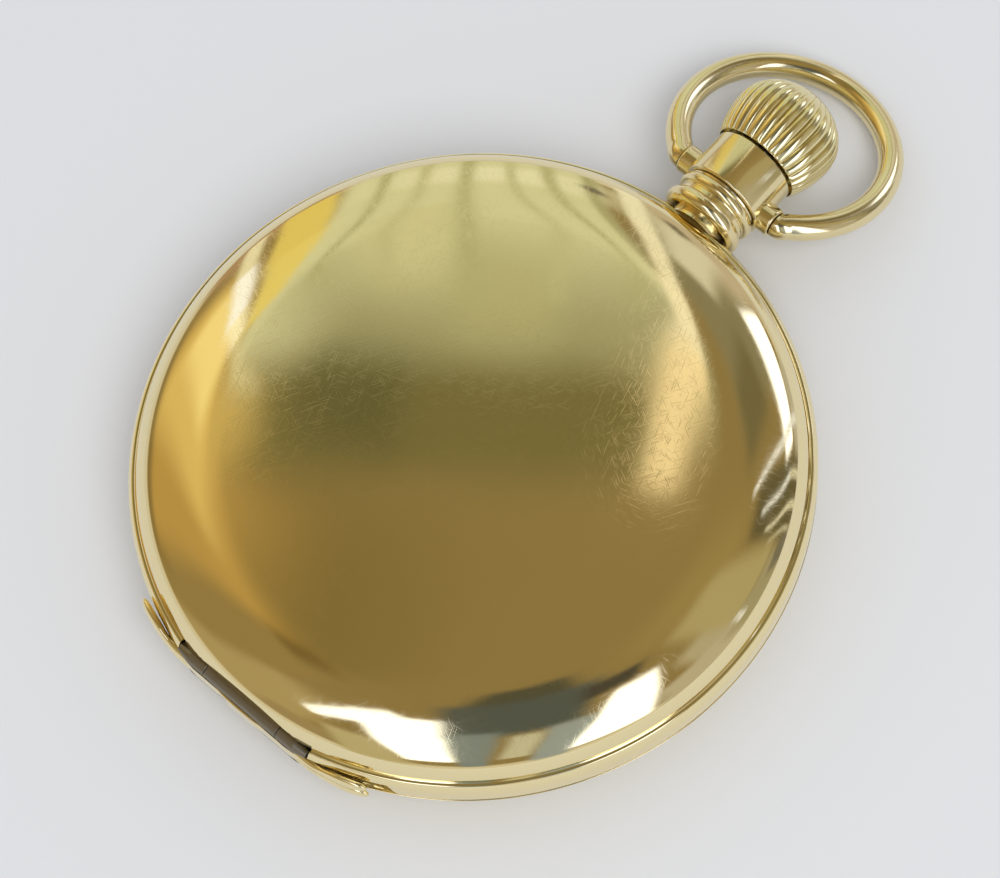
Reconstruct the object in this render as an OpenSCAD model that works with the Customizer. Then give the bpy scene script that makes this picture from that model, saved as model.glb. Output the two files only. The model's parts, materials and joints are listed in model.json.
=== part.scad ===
// Full hunter pocket watch: a gold case with two hinged covers round a keyless lever movement.
// Millimetres. +Z is up towards the front cover, +X runs out through the crown (3 o'clock),
// +Y points at 12 o'clock. The origin is the centre of the flat on the back cover.
// All heights below are measured from the middle plane of the case and lifted at the end.

/* [Case] */
// Outside diameter over the rims of the two covers
case_d = 50; // [49.6:0.2:52]
// Overall thickness from the flat of the back to the top of the front cover
case_t = 11.8; // [11.7:0.1:12.6]
// Height of the middle band that shows between the covers
band_h = 1.7; // [1.6:0.05:1.8]
// Gap between the band and the rim of a cover
seam = 0.05; // [0.03:0.01:0.08]
// Wall of the covers
cover_wall = 0.5; // [0.4:0.05:0.55]
// Height of the rolled bead round a cover
bead_h = 0.85; // [0.7:0.05:0.95]
// How far the bead stands out beyond the shoulder of the cover
bead_out = 0.7; // [0.6:0.05:0.8]
// Radius where the shoulder of a cover meets its shallow dome
dome_r = 20.5; // [20:0.25:21]
// Rise of the shallow dome above the top of the shoulder
dome_rise = 0.75; // [0.6:0.05:0.85]
// Radius of the flat that the watch rests on
rest_r = 8; // [5:1:11]
// Wall of the upright neck that the bezel and the inner cover snap over
neck_wall = 0.55; // [0.5:0.05:0.6]
// Wall of the bezel and of the inner cover's skirt
skirt_wall = 0.45; // [0.4:0.05:0.5]
// Free space between a cover and what lies just under it
under_cover = 0.3; // [0.2:0.05:0.35]

/* [Hinges] */
// Radius of a cover hinge knuckle
knuckle_r = 0.55; // [0.5:0.05:0.6]
// Distance of the cover hinge pins inside the edge of the case
hinge_inset = 1; // [0.8:0.1:1.1]
// Height of the cover hinge pins above and below the middle plane
hinge_z = 1.15; // [1.1:0.05:1.25]
// Length of the middle knuckle, which belongs to the cover
knuckle_l = 7; // [5:1:9]
// Length of the straight hinge block
hinge_l = 20.4; // [19.6:0.2:21]
// Radius of the hinge pins
pin_r = 0.25; // [0.2:0.05:0.3]

/* [Neck, bow and crown] */
// Radius of the drum of the neck
drum_r = 3.4; // [3.3:0.1:3.6]
// Length of the drum
drum_l = 3.9; // [3.7:0.1:4.2]
// Distance of the bow's pivot outside the edge of the case
bow_off = 3.95; // [3.8:0.05:4.2]
// Thickness of the bow's wire
bow_wire = 1.84; // [1.6:0.04:1.9]
// Radius of the bow's centre line
bow_r = 8.19; // [8:0.05:8.6]
// Distance from the pivot to the centre of the bow
bow_reach = 6.79; // [6.6:0.05:6.95]
// Gap between the far end of the lowered bow and the table
bow_rest_gap = 0.3; // [0.25:0.05:0.6]
// Largest diameter of the crown
crown_d = 8.8; // [8.4:0.1:9.2]
// Length of the crown
crown_l = 6.7; // [6.5:0.1:7]
// Number of flutes on the crown
flutes = 30; // [24:2:36]
// Travel of the crown when it is pressed to free the front cover
press_travel = 0.6; // [0.4:0.05:0.7]
// Travel of the crown when it is pulled to set the hands
pull_travel = 1; // [0.8:0.1:1.1]

/* [Dial and glass] */
// Diameter of the dial
dial_d = 42.4; // [41.8:0.2:42.8]
// Thickness of the dial
dial_t = 0.65; // [0.5:0.05:0.7]
// Radius of the sunk seconds dial
seconds_dial_r = 5; // [4.4:0.2:5.2]
// Thickness of the glass
glass_t = 0.6; // [0.5:0.05:0.7]
// Length of the minute hand
minute_l = 17; // [15:0.5:17.5]
// Length of the hour hand
hour_l = 11.5; // [10:0.5:12.5]
// Hour that the hands show
time_hour = 10; // [0:1:11]
// Minute that the hands show
time_minute = 9; // [0:1:59]
// Second that the seconds hand shows
time_second = 42; // [0:1:59]

/* [Movement] */
// Diameter of the movement's seat in the case
plate_d = 43.5; // [43.3:0.1:43.7]
// Thickness of the main plate
plate_t = 2; // [1.9:0.05:2.1]
// Distance of the seconds arbor from the centre
seconds_off = 10.4; // [10.2:0.1:10.6]
// Free height for the wheels between the main plate and the bridges
train_gap = 1.8; // [1.75:0.05:1.9]
// Thickness of the bridges
bridge_t = 1; // [0.9:0.05:1.1]
// Tooth module of the barrel
barrel_m = 0.22; // [0.215:0.005:0.225]
// Tooth module of the centre wheel
centre_m = 0.15; // [0.146:0.002:0.154]
// Tooth module of the third wheel
third_m = 0.14; // [0.136:0.002:0.144]
// Tooth module of the fourth wheel
fourth_m = 0.12; // [0.118:0.001:0.122]
// Radius of the escape wheel
escape_r = 4.2; // [4:0.05:4.3]
// Radius of the balance rim
balance_r = 8; // [7.6:0.1:8.2]
// Height of the balance rim
balance_h = 0.55; // [0.45:0.05:0.6]
// Turns of the hairspring
hairspring_turns = 9; // [7:1:11]
// Turns of the mainspring
mainspring_turns = 8; // [6:1:9]
// Radial clearance of turning pieces in their bearings
bearing_fit = 0.02; // [0.01:0.005:0.03]

/* [Hidden] */
$fn = 64;

// Small shared amounts
eps = 0.01;
snug = 0.01;
slack = 0.05;
arc_steps = 12;

// Case heights and radii
mid_h = case_t / 2;
case_r = case_d / 2;
half_band = band_h / 2;
band_out_r = case_r - 0.3;
band_edge = 0.15;
rim_z = half_band + seam;
bead_top_z = rim_z + bead_h;
shoulder_r = case_r - bead_out;
plate_r = plate_d / 2;
bore_r = plate_r + slack;
neck_r = bore_r + neck_wall;
skirt_r = neck_r + slack;
skirt_out_r = skirt_r + skirt_wall;
step_r = skirt_out_r + slack;
cover_in_r = step_r + 3 * slack;
step_z = half_band + 0.35;
neck_top_z = half_band + 1.15;
skirt_z = step_z + slack;
ledge_r = plate_r - 0.7;
ledge_z = 0.2;
neck_low_z = -half_band - 0.95;

// Arc of a cover's shoulder, tangent to the dome that starts at the flat of radius f
function dome_radius(f) = (pow(dome_r - f, 2) + pow(dome_rise, 2)) / (2 * dome_rise);
function dome_tilt(f) = asin((dome_r - f) / dome_radius(f));
function chord_tilt() = atan2(mid_h - dome_rise - bead_top_z, shoulder_r - dome_r);
function chord_len() = norm([mid_h - dome_rise - bead_top_z, shoulder_r - dome_r]);
function shoulder_half(f) = chord_tilt() - dome_tilt(f);
function shoulder_radius(f) = chord_len() / (2 * sin(shoulder_half(f)));
function shoulder_centre(f) = [dome_r, mid_h - dome_rise]
    - shoulder_radius(f) * [sin(dome_tilt(f)), cos(dome_tilt(f))];

// Points on the cover's shape moved inwards by d: the dome, then the shoulder out to radius r
function dome_points(f, d) = [for (i = [0:arc_steps])
    let (a = dome_tilt(f) * i / arc_steps)
    [f, mid_h - dome_radius(f)] + (dome_radius(f) - d) * [sin(a), cos(a)]];
function shoulder_angle(f, d, r) = asin((r - shoulder_centre(f)[0]) / (shoulder_radius(f) - d));
function shoulder_points(f, d, a0, a1) = [for (i = [1:arc_steps])
    let (a = a0 + (a1 - a0) * i / arc_steps)
    shoulder_centre(f) + (shoulder_radius(f) - d) * [sin(a), cos(a)]];
function under_shape(f, d, r) = concat(f > 0 ? [[0, mid_h - d]] : [], dome_points(f, d),
    shoulder_points(f, d, dome_tilt(f), shoulder_angle(f, d, r)));
function shoulder_height(f, d, r) = shoulder_centre(f)[1]
    + (shoulder_radius(f) - d) * cos(shoulder_angle(f, d, r));
function backwards(pts) = [for (i = [len(pts) - 1:-1:0]) pts[i]];
function polar(r, a) = [r * cos(a), r * sin(a)];
function arc(c, r, a0, a1, n) = [for (i = [0:n]) c + polar(r, a0 + (a1 - a0) * i / n)];

// Meeting point of two circles, on the left of the way from p to q when side is 1
function meet(p, rp, q, rq, side) = let (d = norm(q - p), u = (q - p) / d,
    a = (pow(rp, 2) - pow(rq, 2) + pow(d, 2)) / (2 * d))
    p + a * u + side * sqrt(pow(rp, 2) - pow(a, 2)) * [-u[1], u[0]];
function bearing_of(v) = atan2(v[1], v[0]);

// Hinges of the covers
knuckle_gap = 0.08;
hinge_x = case_r - hinge_inset;
cut_x = hinge_x - knuckle_r - 0.07;
block_x = hinge_x + 0.45;
block_top = hinge_z + knuckle_r;
bar_half = hinge_l / 2 - 0.9;
bar_top = block_top - 0.45;
horn_in_r = case_r + 0.06;
horn_r = case_r + 0.5;
horn_top = block_top - 0.25;
horn_turn = asin(hinge_l / 2 / horn_r);
groove_half = 0.16;
pin_fit = 0.02;
pin_l = sqrt(pow(horn_r, 2) - pow(hinge_x + pin_r, 2)) - 0.1;
inner_hinge_x = neck_r;
inner_edge_h = step_z + 1;
inner_hinge_z = -step_z - 0.25;
inner_knuckle_r = 0.35;
inner_knuckle_l = 3.2;
inner_hinge_l = 7;
inner_pin_r = 0.15;

// Neck
foot_x = case_r + 0.1;
drum_x = foot_x + 2.9;
drum_end = drum_x + drum_l;
foot_r = drum_r - 0.05;
pendant_bore_r = 1.9;
pendant_bore_x = foot_x + 1.1;
boss_r = 1.1;
boss_y = 4.4;
boss_gap = 0.05;
stub_r = 0.5;
stub_y = 2.5;
stub_fit = 0.03;
bow_pivot_x = case_r + bow_off;
bow_tip = bow_reach + bow_r;
bow_tilt = asin((mid_h - bow_wire / 2 - bow_rest_gap) / bow_tip);

// Winding line along X
stem_r = 0.46;
collar_r = 0.68;
collar_fit = 0.03;
collar_x = step_r + 0.5;
flange_x = pendant_bore_x + press_travel + 0.2;
flange_t = 0.6;
flange_r = 1.6;
shank_r = 0.75;
shank_x = flange_x + flange_t + slack;
sleeve_x = shank_x + 0.3;
crown_x = drum_end + 0.1;
crown_end = crown_x + crown_l;
crown_r = crown_d / 2;
crown_mouth_r = drum_r + 0.1;
crown_base_r = crown_mouth_r + 0.1;
crown_tip_r = 0.5;
flute_depth = 0.4;
crown_mouth_depth = press_travel + 0.9;
stem_end = crown_x + 5.4;

// Winding wheels
wind_leaf = 12;
crown_n = 32;
ratchet_n = 60;
wind_pitch_r = 1.28;
wind_tip_r = 1.42;
wind_root_r = 1.1;
wind_x0 = 16.6;
wind_x1 = 18.3;
wind_mid_x = (wind_x0 + wind_x1) / 2;
face_r = wind_pitch_r * crown_n / wind_leaf;
crown_wheel_p = [wind_mid_x - face_r, 0];
arbor_r = 0.8;
arbor_square = 1.15;
stem_square = 0.7;
stem_hole = 0.8;
square_x0 = 12.2;
arbor_x1 = 20.6;
hole_x0 = 14.6;
square_end_x = 16;
slide_x0 = 13.4;
slide_x1 = wind_x0 - slack;
slide_r = 1.35;
groove_r = 1;
groove_x = 14.7;
groove_w = 0.5;

// Heights inside the movement
plate_top = ledge_z + 1.25;
dial_z = plate_top + slack;
plate_low = plate_top - plate_t;
recess_z = plate_top - 0.8;
bridge_z = plate_low - train_gap;
bridge_low = bridge_z - bridge_t;
wheel_pit_z = bridge_low + 0.4;

// Teeth of the going train
barrel_n = 80;
centre_leaf = 10;
centre_n = 80;
third_leaf = 10;
third_n = 75;
fourth_leaf = 10;
fourth_n = 80;
escape_leaf = 8;
escape_n = 15;
cannon_n = 12;
minute_n = 36;
minute_leaf = 12;
hour_n = 48;
setting_n = 18;
motion_m = 0.2;
hour_m = 0.16;
barrel_turn = 58;
balance_off = 12;
balance_turn = 195;
fork_l = 4.9;
fork_arm = 104;
stone_l = 0.85;
fork_foot_d = 3.9;
fork_foot_r = 0.75;
small_screw_r = 0.28;
small_head_r = 0.6;

// Places of the arbors, seen from the dial
centre_p = [0, 0];
barrel_p = polar((barrel_n + centre_leaf) * barrel_m / 2, barrel_turn);
fourth_p = [0, -seconds_off];
third_p = meet(centre_p, (centre_n + third_leaf) * centre_m / 2,
    fourth_p, (third_n + fourth_leaf) * third_m / 2, 1);
balance_p = polar(balance_off, balance_turn);
fork_d = escape_r / cos(30);
escape_p = meet(fourth_p, (fourth_n + escape_leaf) * fourth_m / 2,
    balance_p, fork_d + fork_l, 1);
lever_turn = bearing_of(balance_p - escape_p);
fork_p = escape_p + polar(fork_d, lever_turn);
minute_p = [(cannon_n + minute_n) * motion_m / 2, 0];
setting_p = minute_p + [(minute_n + setting_n) * motion_m / 2, 0];
wind_m = norm(crown_wheel_p - barrel_p) * 2 / (crown_n + ratchet_n);

// Levels of the wheels, each the side towards the dial
centre_z = plate_low + 0.4;
barrel_z = plate_low - slack;
barrel_low = bridge_z + slack;
barrel_tooth_t = 0.5;
third_z = plate_low - 0.75;
fourth_z = plate_low - 1.3;
escape_z = plate_low - 0.45;
wheel_t = 0.25;
fork_t = 0.2;
balance_z = bridge_z;
roller_z = escape_z - 0.3;
cock_z = bridge_z - 0.8;
cock_t = 0.45;
ratchet_t = 0.4;
crown_wheel_z = wheel_pit_z - slack;
bevel_z = plate_low - 1.2;
bevel_low = bridge_z + 0.1;
pivot_r = 0.1;
barrel_arbor_r = 0.8;
crown_arbor_r = 1.2;
arbor_body_r = 0.35;
jewel_r = 0.7;
jewel_t = 0.3;
train_pivots = [third_p, fourth_p, escape_p];
third_top = centre_z + slack;

// Dial side
hour_tube_r = 1.1;
cannon_r = 0.72;
centre_arbor_r = 0.4;
dial_top = dial_z + dial_t;
seconds_z = dial_top + 0.15;
hour_hand_z = dial_top + 0.42;
minute_hand_z = dial_top + 0.78;
hand_t = 0.12;
glass_r = step_r - 2.2;
glass_seat_z = shoulder_height(0, cover_wall + under_cover, glass_r) - glass_t - 0.15;
glass_rise = 1.15;
glass_ball = (pow(glass_r, 2) + pow(glass_rise, 2)) / (2 * glass_rise);
opening_r = glass_r - 0.6;
minute_turn = 90 - 6 * time_minute;
hour_turn = 90 - 30 * time_hour - time_minute / 2;
second_turn = 90 - 6 * time_second;
mark_r = 18.6;
paint_t = 0.02;

// Bridge outline radii and screws
bridge_r = ledge_r - 0.4;
balance_room_r = balance_r + 0.85;
screw_head_r = 0.85;
screw_head_t = 0.35;
screw_r = 0.4;
barrel_screws = [polar(18, 118), polar(18.4, 84), polar(18.2, 22)];
train_screws = [polar(18.2, 238), polar(18.4, 274), polar(18.3, 312)];
bridge_edge_r = bridge_r - 0.75;
bridge_edge_z = bridge_z - 0.45;
screw_boss_r = 1.35;
cock_foot_p = polar(16.6, 143);
fork_feet = [fork_p + polar(fork_foot_d, lever_turn - 90),
    fork_p + polar(fork_foot_d, lever_turn + 90)];
case_screw_turns = [-12, 168];
case_screw_r = ledge_r - 0.5;
dial_feet = [polar(19.3, 45), polar(19.3, 165), polar(19.3, 285)];
foot_pin_r = 0.4;

// Case springs in the channel of the band
spring_mid_r = skirt_out_r + 0.25;
spring_leaf = 0.45;
spring_h = 1.36;
spring_eye_r = 0.62;
spring_eye_turn = 3;
finger_r0 = skirt_out_r - 0.45;
finger_w = 2;
eye_r = stem_r + 0.07;
eye_l = press_travel * 0.5 + 0.05;
lock_root = -50;
lift_root = 126;
lift_tip = 170;
channel_r = spring_mid_r + 0.65;
channel_half = spring_h / 2 + 0.04;
nose_half = 3.5;
slot_half = nose_half + 1.5;
slot_r0 = bore_r - 0.3;
lift_slot_r = step_r + 0.45;
spring_pins = [polar(spring_mid_r, lock_root - spring_eye_turn),
    polar(spring_mid_r, lift_root - spring_eye_turn)];

// Keyless work and balance places
setting_lever_p = [groove_x + groove_w / 2 - pull_travel / 2, -4.4];
click_dir = 150;
click_p = barrel_p + polar(ratchet_n * wind_m / 2 + 1.7, click_dir);
click_turn = click_dir - 90;
hairspring_z = balance_z - 0.42;
hairspring_h = 0.16;
hairspring_r0 = 0.62;
hairspring_r1 = 4.95;
stud_r = 5.05;
stud_turn = bearing_of(cock_foot_p - balance_p);
stud_p = balance_p + polar(stud_r, stud_turn);
roller_pin_p = balance_p + polar(1.25, lever_turn);

// Lifts a piece from the middle plane of the case to its place above the flat
module at_mid() {
    translate([0, 0, mid_h]) children();
}

// Ring between two radii and two heights
module ring(r_in, r_out, z0, z1) {
    translate([0, 0, z0]) difference() {
        cylinder(r = r_out, h = z1 - z0);
        translate([0, 0, -eps]) cylinder(r = r_in, h = z1 - z0 + 2 * eps);
    }
}

// Upright disc between two heights at place p
module disc(p, r, z0, z1) {
    translate([p[0], p[1], z0]) cylinder(r = r, h = z1 - z0);
}

// Flat shape raised between two heights
module slab(z0, z1) {
    translate([0, 0, z0]) linear_extrude(height = z1 - z0) children();
}

// Cylinder along X between x0 and x1
module rod_x(r, x0, x1) {
    translate([x0, 0, 0]) rotate([0, 90, 0]) cylinder(r = r, h = x1 - x0);
}

// Cylinder along Y between y0 and y1 through x and z
module rod_y(r, x, z, y0, y1) {
    translate([x, y0, z]) rotate([-90, 0, 0]) cylinder(r = r, h = y1 - y0);
}

// Square bar along X
module bar_x(side, x0, x1) {
    translate([x0, -side / 2, -side / 2]) cube([x1 - x0, side, side]);
}

// Piece turned about the X axis from points of distance along X and radius
module turned_x(pts) {
    rotate([0, 90, 0]) rotate_extrude() polygon([for (p = pts) [p[1], p[0]]]);
}

// Sector of a ring, drawn flat
module sector(r_in, r_out, a0, a1) {
    n = 16;
    polygon(concat(arc([0, 0], r_in, a0, a1, n), arc([0, 0], r_out, a1, a0, n)));
}

// Tooth of a gear as four corners, centred on angle a
function tooth(n, m, a) = let (r = n * m / 2, p = 360 / n)
    [polar(r - 1.1 * m, a - 0.24 * p), polar(r + 0.8 * m, a - 0.12 * p),
     polar(r + 0.8 * m, a + 0.12 * p), polar(r - 1.1 * m, a + 0.24 * p)];
function gear_points(n, m, a) = [for (i = [0:n - 1]) each tooth(n, m, a + i * 360 / n)];

// Gear with a tooth centred on angle a and a plain bore
module gear(n, m, a, p, z0, z1, bore) {
    translate([p[0], p[1], 0]) slab(z0, z1) difference() {
        polygon(gear_points(n, m, a));
        circle(r = bore);
    }
}

// Wheel with arms: a toothed rim, a hub and windows between the arms
module wheel(n, m, a, p, z0, z1, bore, arms, hub) {
    rim = n * m / 2 - 1.1 * m - 0.55;
    translate([p[0], p[1], 0]) slab(z0, z1) difference() {
        polygon(gear_points(n, m, a));
        circle(r = bore);
        for (i = [0:arms - 1]) {
            a0 = 360 * i / arms;
            half = 180 / arms;
            polygon(concat(arc([0, 0], rim, a0 - half + 6, a0 + half - 6, 8),
                arc([0, 0], hub, a0 + half - 18, a0 - half + 18, 6)));
        }
    }
}

// Pinion whose gap faces angle a
module pinion(n, m, a, p, z0, z1, bore) {
    gear(n, m, a + 180 / n, p, z0, z1, bore);
}

// Upright arbor with a body and a fine pivot at each end
module arbor(p, top, low) {
    disc(p, arbor_body_r, low + slack, top - slack);
    disc(p, pivot_r, low - 0.25, top + 0.25);
}

// Flat screw with its head below height z and its shank pointing towards the dial
module screw(p, z, l, head = screw_head_r, shank = screw_r) {
    difference() {
        union() {
            disc(p, head, z - screw_head_t, z);
            disc(p, shank, z - eps, z + l);
        }
        translate([p[0] - head - 0.1, p[1] - 0.09, z - screw_head_t - eps])
            cube([2 * head + 0.2, 0.18, 0.14]);
    }
}

// Outside of a cover with the flat of radius f, from its rim to its top
module cover_shell(f) {
    inside = under_shape(f, cover_wall, cover_in_r);
    bead_r = 0.32;
    outside = concat(dome_points(f, 0), shoulder_points(f, 0, dome_tilt(f),
        dome_tilt(f) + 2 * shoulder_half(f)),
        [[shoulder_r + 0.25, bead_top_z - 0.12]],
        arc([case_r - bead_r, rim_z + 0.33], bead_r, 50, -75, 8),
        [[cover_in_r, rim_z]]);
    rotate_extrude($fn = 128) polygon(concat(f > 0 ? [[0, mid_h]] : [], outside,
        backwards(inside)));
}

// Knuckle of a cover hinge, tied to its cover by a short web
module cover_knuckle() {
    half = knuckle_l / 2 - slack;
    rod_y(knuckle_r, -hinge_x, hinge_z, -half, half);
    translate([-hinge_x, -half, hinge_z - 0.2])
        cube([hinge_x - cut_x + 0.3, 2 * half, 0.2 + knuckle_r]);
}

// A cover in the front position: cut straight at the hinge, with its knuckle and pin hole
module cover(f) {
    difference() {
        union() {
            difference() {
                cover_shell(f);
                translate([-case_r - 1, -case_r, -case_t])
                    cube([case_r + 1 - cut_x, case_d, 2 * case_t]);
            }
            difference() {
                cover_knuckle();
                cylinder(r = cover_in_r, h = case_t);
            }
        }
        rod_y(pin_r + pin_fit, -hinge_x, hinge_z, -knuckle_l, knuckle_l);
    }
}

module front_cover() {
    color("#d9c26b") at_mid() difference() {
        cover(0);
        slab(skirt_z + 0.05, skirt_z + 0.55)
            sector(cover_in_r - eps, cover_in_r + 0.4, -slot_half, slot_half);
    }
}

module back_cover() {
    color("#d9c26b") at_mid() mirror([0, 0, 1]) cover(rest_r);
}

// Horns of a hinge block, drawn flat: they lie along the bead from radius r_in outwards
module horns(r_in) {
    horn_mid = (horn_in_r + horn_r) / 2;
    intersection() {
        union() {
            sector(r_in, horn_r, 180 - horn_turn, 180 + horn_turn);
            for (s = [-1, 1]) translate(polar(horn_mid, 180 + s * horn_turn))
                circle(r = horn_r - horn_mid);
        }
        translate([-block_x, -case_r]) square([case_r, case_d]);
    }
}

// Hinge block of the band on the front side: a straight bar with horns and two outer knuckles
module hinge_block() {
    gap = knuckle_l / 2;
    difference() {
        intersection() {
            union() {
                for (s = [-1, 1]) rod_y(knuckle_r, -hinge_x, hinge_z,
                    min(s * gap, s * bar_half), max(s * gap, s * bar_half));
                slab(0, bar_top) translate([-block_x, -bar_half])
                    square([block_x - cut_x - 0.02, 2 * bar_half]);
                slab(0, horn_top) horns(horn_in_r);
                slab(0, half_band - 0.1) horns(band_out_r - 0.6);
            }
            cylinder(r = horn_r, h = case_t);
        }
        rod_y(knuckle_r + knuckle_gap, -hinge_x, hinge_z, -gap, gap);
        translate([-block_x - 1, -gap, hinge_z]) cube([3, knuckle_l, 2]);
        translate([-hinge_x, -gap, rim_z - slack]) cube([2, knuckle_l, 2]);
        rod_y(pin_r + pin_fit, -hinge_x, hinge_z, -pin_l - slack, bar_half);
        translate([-block_x - eps, -bar_half, -eps]) cube([0.3, 2 * bar_half, groove_half]);
    }
}

// Channel for a case spring from angle a0 to a1
module spring_channel(a0, a1) {
    slab(-channel_half, channel_half) sector(ledge_r + 0.9, channel_r, a0, a1);
}

module case_band() {
    profile = [[ledge_r, neck_low_z], [neck_r - 0.25, neck_low_z],
        [neck_r, neck_low_z + 0.25], [neck_r, -step_z],
        [step_r, -step_z], [step_r, -half_band], [band_out_r - band_edge, -half_band],
        [band_out_r, band_edge - half_band], [band_out_r, half_band - band_edge],
        [band_out_r - band_edge, half_band], [step_r, half_band], [step_r, step_z], [neck_r, step_z],
        [neck_r, neck_top_z], [bore_r, neck_top_z], [bore_r, ledge_z], [ledge_r, ledge_z]];
    inner_half = inner_hinge_l / 2;
    color("#cdb662") at_mid() difference() {
        union() {
            rotate_extrude($fn = 128) polygon(profile);
            hinge_block();
            mirror([0, 0, 1]) hinge_block();
            for (s = [-1, 1]) {
                y0 = s > 0 ? inner_knuckle_l / 2 : -inner_half;
                rod_y(inner_knuckle_r, -inner_hinge_x, inner_hinge_z,
                    y0, y0 + inner_half - inner_knuckle_l / 2);
                translate([-inner_hinge_x - 0.2, y0, inner_hinge_z])
                    cube([0.5, inner_half - inner_knuckle_l / 2, 0.4]);
            }
        }
        for (s = [-1, 1]) rod_y(knuckle_r + knuckle_gap, -hinge_x, s * hinge_z,
            -knuckle_l / 2, knuckle_l / 2);
        // Room for the knuckle of the inner cover
        translate([-step_r - 1, -inner_knuckle_l / 2, neck_low_z - 1])
            cube([step_r - bore_r + 1, inner_knuckle_l, neck_top_z - step_z + 1]);
        rod_y(inner_knuckle_r + 0.06, -inner_hinge_x, inner_hinge_z,
            -inner_knuckle_l / 2, inner_knuckle_l / 2);
        rod_y(inner_pin_r + pin_fit, -inner_hinge_x, inner_hinge_z, -inner_half, inner_half - 0.4);
        // Neck cut back beside the inner hinge, so that the skirt can swing
        for (s = [-1, 1]) translate([-step_r - 1, s > 0 ? inner_knuckle_l / 2 : -inner_half,
            neck_low_z - 1])
            cube([step_r + 1 - inner_hinge_x - inner_knuckle_r - 0.05,
                inner_half - inner_knuckle_l / 2, neck_top_z - step_z + 0.9]);
        spring_channel(lock_root - 6, 8);
        spring_channel(lift_root - 6, lift_tip + 5);
        // Slots for the catch and for the finger of the lift spring
        slab(-0.3, step_z + 0.5) {
            sector(slot_r0, step_r + 0.2, -slot_half, slot_half);
            sector(slot_r0, lift_slot_r, lift_tip - 3, lift_tip + 4);
        }
        rod_x(collar_r + collar_fit, ledge_r - 1, case_r + 1);
        for (p = spring_pins) disc(p, 0.32, -half_band + 0.1, half_band - 0.2);
        for (a = case_screw_turns) disc(polar(case_screw_r, a), screw_head_r + slack,
            neck_low_z - 1, plate_low + snug);
    }
}

module pendant() {
    ring_mid = foot_x + 0.65;
    color("#d3bf68") at_mid() difference() {
        union() {
            intersection() {
                rod_x(foot_r - 0.5, case_r - 1, foot_x + eps);
                translate([0, -case_r, -half_band]) cube([case_d, case_d, band_h]);
            }
            turned_x(concat([[foot_x, 0]],
                [for (i = [0:8]) [ring_mid - 0.65 * cos(180 * i / 8),
                    foot_r - 0.55 + 0.55 * sin(180 * i / 8)]],
                [[foot_x + 1.45, foot_r - 0.42], [foot_x + 1.65, foot_r - 0.42]],
                [for (i = [0:6]) [foot_x + 2.15 - 0.45 * cos(180 * i / 6),
                    foot_r - 0.38 + 0.33 * sin(180 * i / 6)]],
                [[drum_x, drum_r - 0.35], [drum_x, drum_r - 0.15], [drum_x + 0.12, drum_r],
                 [drum_end - 0.2, drum_r], [drum_end, drum_r - 0.2], [drum_end, 0]]));
            for (s = [-1, 1]) rod_y(boss_r, bow_pivot_x, 0, s > 0 ? 2 : -boss_y, s > 0 ? boss_y : -2);
        }
        cylinder(r = band_out_r + snug, h = 2 * case_t, center = true, $fn = 128);
        rod_x(collar_r + collar_fit, case_r - 2, pendant_bore_x + eps);
        rod_x(pendant_bore_r, pendant_bore_x, drum_end + 1);
        rod_y(stub_r + stub_fit, bow_pivot_x, 0, -boss_y - 1, boss_y + 1);
    }
}

module pendant_sleeve() {
    color("#8f8a7d") at_mid() difference() {
        rod_x(pendant_bore_r - snug, sleeve_x, drum_end - 0.15);
        rod_x(shank_r + slack, sleeve_x - 1, drum_end + 1);
        for (s = [-1, 1]) rod_y(stub_r + 0.1, bow_pivot_x, 0, s > 0 ? stub_y - 1.2 : -5,
            s > 0 ? 5 : 1.2 - stub_y);
    }
}

module bow() {
    over = 8;
    end_a = acos(-bow_reach / bow_r);
    color("#d9c56f") at_mid() translate([bow_pivot_x, 0, 0]) rotate([0, bow_tilt, 0]) {
        difference() {
            translate([bow_reach, 0, 0]) rotate(-end_a - over)
                rotate_extrude(angle = 2 * (end_a + over)) translate([bow_r, 0]) circle(d = bow_wire);
            translate([-5, -boss_y - boss_gap, -3]) cube([8, 2 * (boss_y + boss_gap), 6]);
            translate([-5, -10, -3]) cube([5 - 1.05, 20, 6]);
        }
        for (s = [-1, 1]) rod_y(stub_r, 0, 0, s > 0 ? stub_y : -boss_y - 0.4,
            s > 0 ? boss_y + 0.4 : -stub_y);
    }
}

module crown() {
    belly_x = crown_x + crown_l / 2;
    base_a = acos(crown_base_r / crown_r);
    base_l = (belly_x - crown_x) / sin(base_a);
    outline = concat([[crown_x, 0]],
        [for (i = [0:8]) let (a = base_a * (1 - i / 8)) [belly_x - base_l * sin(a), crown_r * cos(a)]],
        [for (i = [1:10]) let (a = 90 * i / 10) [belly_x + (crown_end - belly_x) * sin(a),
            crown_tip_r + (crown_r - crown_tip_r) * cos(a)]],
        [[crown_end, 0]]);
    flute_points = [for (i = [0:flutes - 1]) each [polar(crown_r - flute_depth, 360 * i / flutes),
        polar(crown_r, 360 * (i + 0.3) / flutes), polar(crown_r, 360 * (i + 0.7) / flutes)]];
    color("#cfc06f") at_mid() difference() {
        intersection() {
            turned_x(outline);
            translate([crown_x - 1, 0, 0]) rotate([0, 90, 0])
                linear_extrude(height = crown_l + 2) polygon(flute_points);
        }
        rod_x(crown_mouth_r, crown_x - 1, crown_x + crown_mouth_depth);
        rod_x(shank_r + snug, crown_x - 1, stem_end + snug);
    }
}

module stem() {
    color("#9a9ca0") at_mid() {
        bar_x(stem_square, square_end_x, arbor_x1 + 0.9);
        rod_x(stem_r, arbor_x1 + 0.9, shank_x);
        rod_x(shank_r, shank_x, stem_end);
    }
}

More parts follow.
